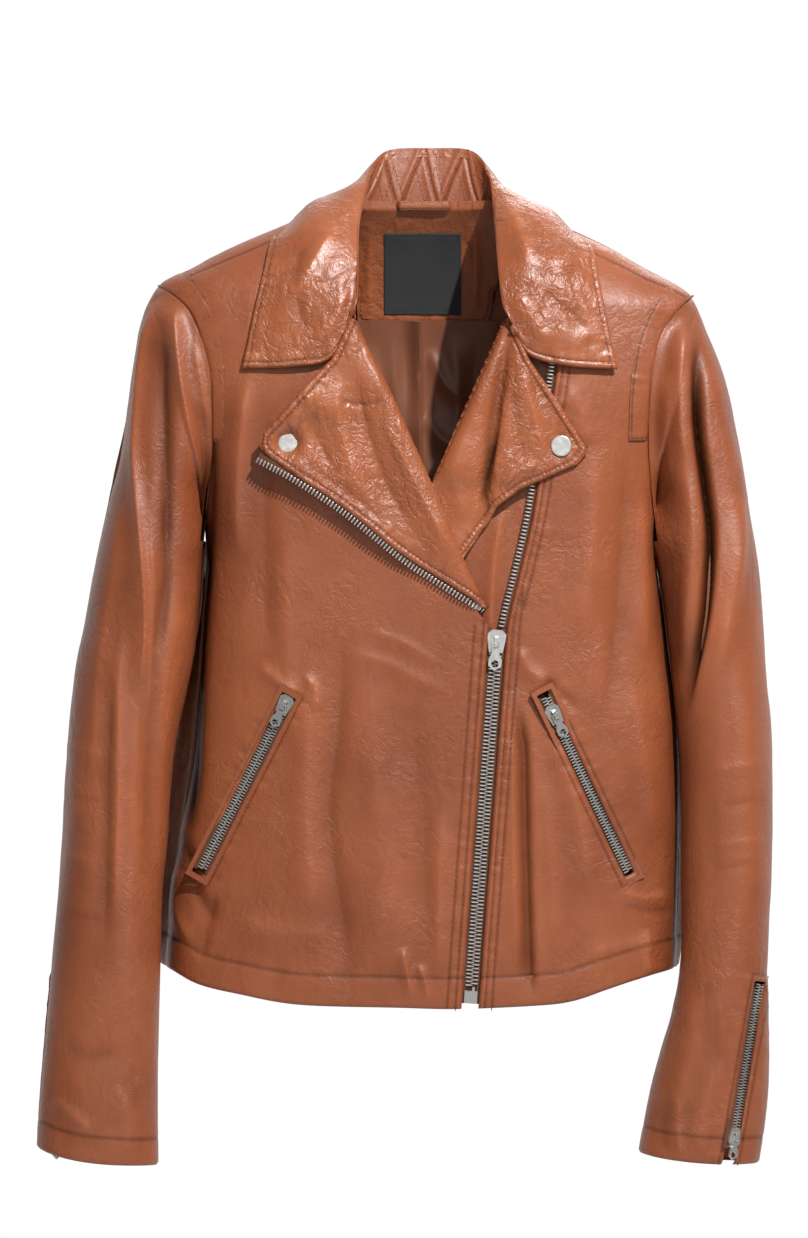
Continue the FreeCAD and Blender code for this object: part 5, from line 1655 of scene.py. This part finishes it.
def all_stitches():
    """Every row of thread that shows."""
    torso = "torso"
    leaf_right = [(-110, -28), (-116, -50), (-123, -80), (-130, -116.5), (-131, -119), (-96, -118.5),
                  (-67, -112.5)]
    leaf_left = [(121, -30), (126, -54), (131, -82), (138, -117), (138.5, -119.5), (105, -118), (76, -111)]
    stitch(collar_sheet, inset(leaf_right, -4.4), torso)
    stitch(collar_sheet, inset(leaf_left, 4.4), torso)
    stitch(right_lapel_sheet, inset(right_lapel_edge, -4.8), "right_lapel_flap")
    stitch(left_lapel_sheet, inset(left_lapel_edge, 4.6), "left_lapel")
    stitch(SHEETS["right_front"], zip_side(-10.4), torso)
    stitch(SHEETS["right_front"], zip_side(-16.5), torso, pitch=3.6)
    stitch(SHEETS["left_front"], [zip_side(10.4)[0]] + [(x + 10.6, z) for x, z in ZIP_UPPER], torso)
    stitch(SHEETS["left_front"], [zip_side(15.5)[0]] + [(x + 15.5, z) for x, z in ZIP_UPPER], torso,
           pitch=3.6)
    for side, sign in SIGN.items():
        front = SHEETS[side + "_front"]
        ring = pocket_outline(side, 8.4, 6.0)
        stitch(front, ring + ring[:1], torso)
        patch = patches[side][0][0]
        corner = (-152, -171) if side == "right" else (160, -170)
        inner_foot = (-142 if side == "right" else 149, -170.5)
        line = [(x + sign * 1.6, z) for x, z in PATCHES[side]] + [inner_foot, corner]
        stitch(patch, line, torso)
        half = "upper" if side == "left" else "under"
        cuff = cuff_outline(side, 8.8, 6.0)
        stitch(SHEETS[f"{side}_{half}"], cuff + cuff[:1], side + "_sleeve")
    zigzag = [(-44 + 7.5 * k, 30 if k % 2 else 2) for k in range(13)]
    stitch(stand_sheet, zigzag, torso)
    stitch(neck_sheet, [(-46, -62), (-45, -80), (-20, -82.3), (24, -82.3), (44, -80), (49, -62)], torso)
    for name, (points, faces) in THREADS.items():
        obj = make_mesh("thread_" + name, points, faces, THREAD)
        if name == "left_lapel":
            bend_left_lapel(obj)
        else:
            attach(obj, name)


all_stitches()


# ---- carried-over CAD nodes --------------------------------------------------------------
FINISH = {"leather": INNER, "satin": SATIN, "pocketing": POCKETING, "label": LABEL, "zip_tape": TAPE,
          "zip_teeth": TEETH, "zip_metal": NICKEL}
slot_of = {s["node"]: s["material_slot"] for s in frame["record"]["subparts"]}
for name, obj in frame["nodes"].items():
    for slot in obj.material_slots:
        slot.material = FINISH[slot_of[name]]
    if slot_of[name] == "zip_metal":
        rounding = obj.modifiers.new("rounding", "BEVEL")
        rounding.width, rounding.segments, rounding.limit_method = 0.00028, 2, "ANGLE"


# ---- floor and light -----------------------------------------------------------------------
def floor():
    """The plain floor under the jacket."""
    m, nodes, links, bsdf = material("floor_paint")
    cloud = node(nodes, "TexNoise", Scale=3.0, Detail=3.0)
    links.new(node(nodes, "TexCoord").outputs["Object"], cloud.inputs["Vector"])
    tone = ramp(nodes, [(0.3, (0.78, 0.78, 0.77)), (0.7, (0.82, 0.82, 0.81))])
    links.new(cloud.outputs["Fac"], tone.inputs["Fac"])
    links.new(tone.outputs["Color"], bsdf.inputs["Base Color"])
    bsdf.inputs["Roughness"].default_value = 0.7
    half = 1500
    points = [(-half, -half, -1250), (half, -half, -1250), (half, half, -1250), (-half, half, -1250)]
    obj = make_mesh("floor", points, [(0, 1, 2, 3)], m, smooth=False)


def area_light(name, where, size, power):
    """A round lamp that points at the jacket."""
    lamp = bpy.data.lights.new(name, "AREA")
    lamp.shape, lamp.size, lamp.energy = "DISK", size, power
    obj = bpy.data.objects.new(name, lamp)
    obj.location = where
    obj.rotation_euler = (Vector((0, -0.05, -0.32)) - Vector(where)).to_track_quat("-Z", "Y").to_euler()
    bpy.context.collection.objects.link(obj)


def light():
    """A small key lamp, two soft ones, and a sky that is brighter behind."""
    world = bpy.data.worlds.new("studio")
    bpy.context.scene.world = world
    world.use_nodes = True
    sky = world.node_tree.nodes["Background"]
    sky.inputs["Color"].default_value = (1.0, 1.0, 1.0, 1)
    where = node(world.node_tree.nodes, "TexCoord")
    split = node(world.node_tree.nodes, "SeparateXYZ")
    front_to_back = node(world.node_tree.nodes, "MapRange", interpolation_type="SMOOTHSTEP")
    front_to_back.inputs["From Min"].default_value, front_to_back.inputs["From Max"].default_value = -0.1, 0.7
    front_to_back.inputs["To Min"].default_value, front_to_back.inputs["To Max"].default_value = 0.23, 1.02
    links = world.node_tree.links
    links.new(where.outputs["Generated"], split.inputs[0])
    links.new(split.outputs["Y"], front_to_back.inputs["Value"])
    links.new(front_to_back.outputs["Result"], sky.inputs["Strength"])
    area_light("key", (0.85, -1.8, 1.5), 0.06, 100)
    area_light("soft", (0.0, -2.6, 0.45), 1.8, 9)
    area_light("back", (0.4, 2.2, 1.6), 1.6, 26)
    bpy.context.scene.view_settings.view_transform = "Standard"


floor()
light()
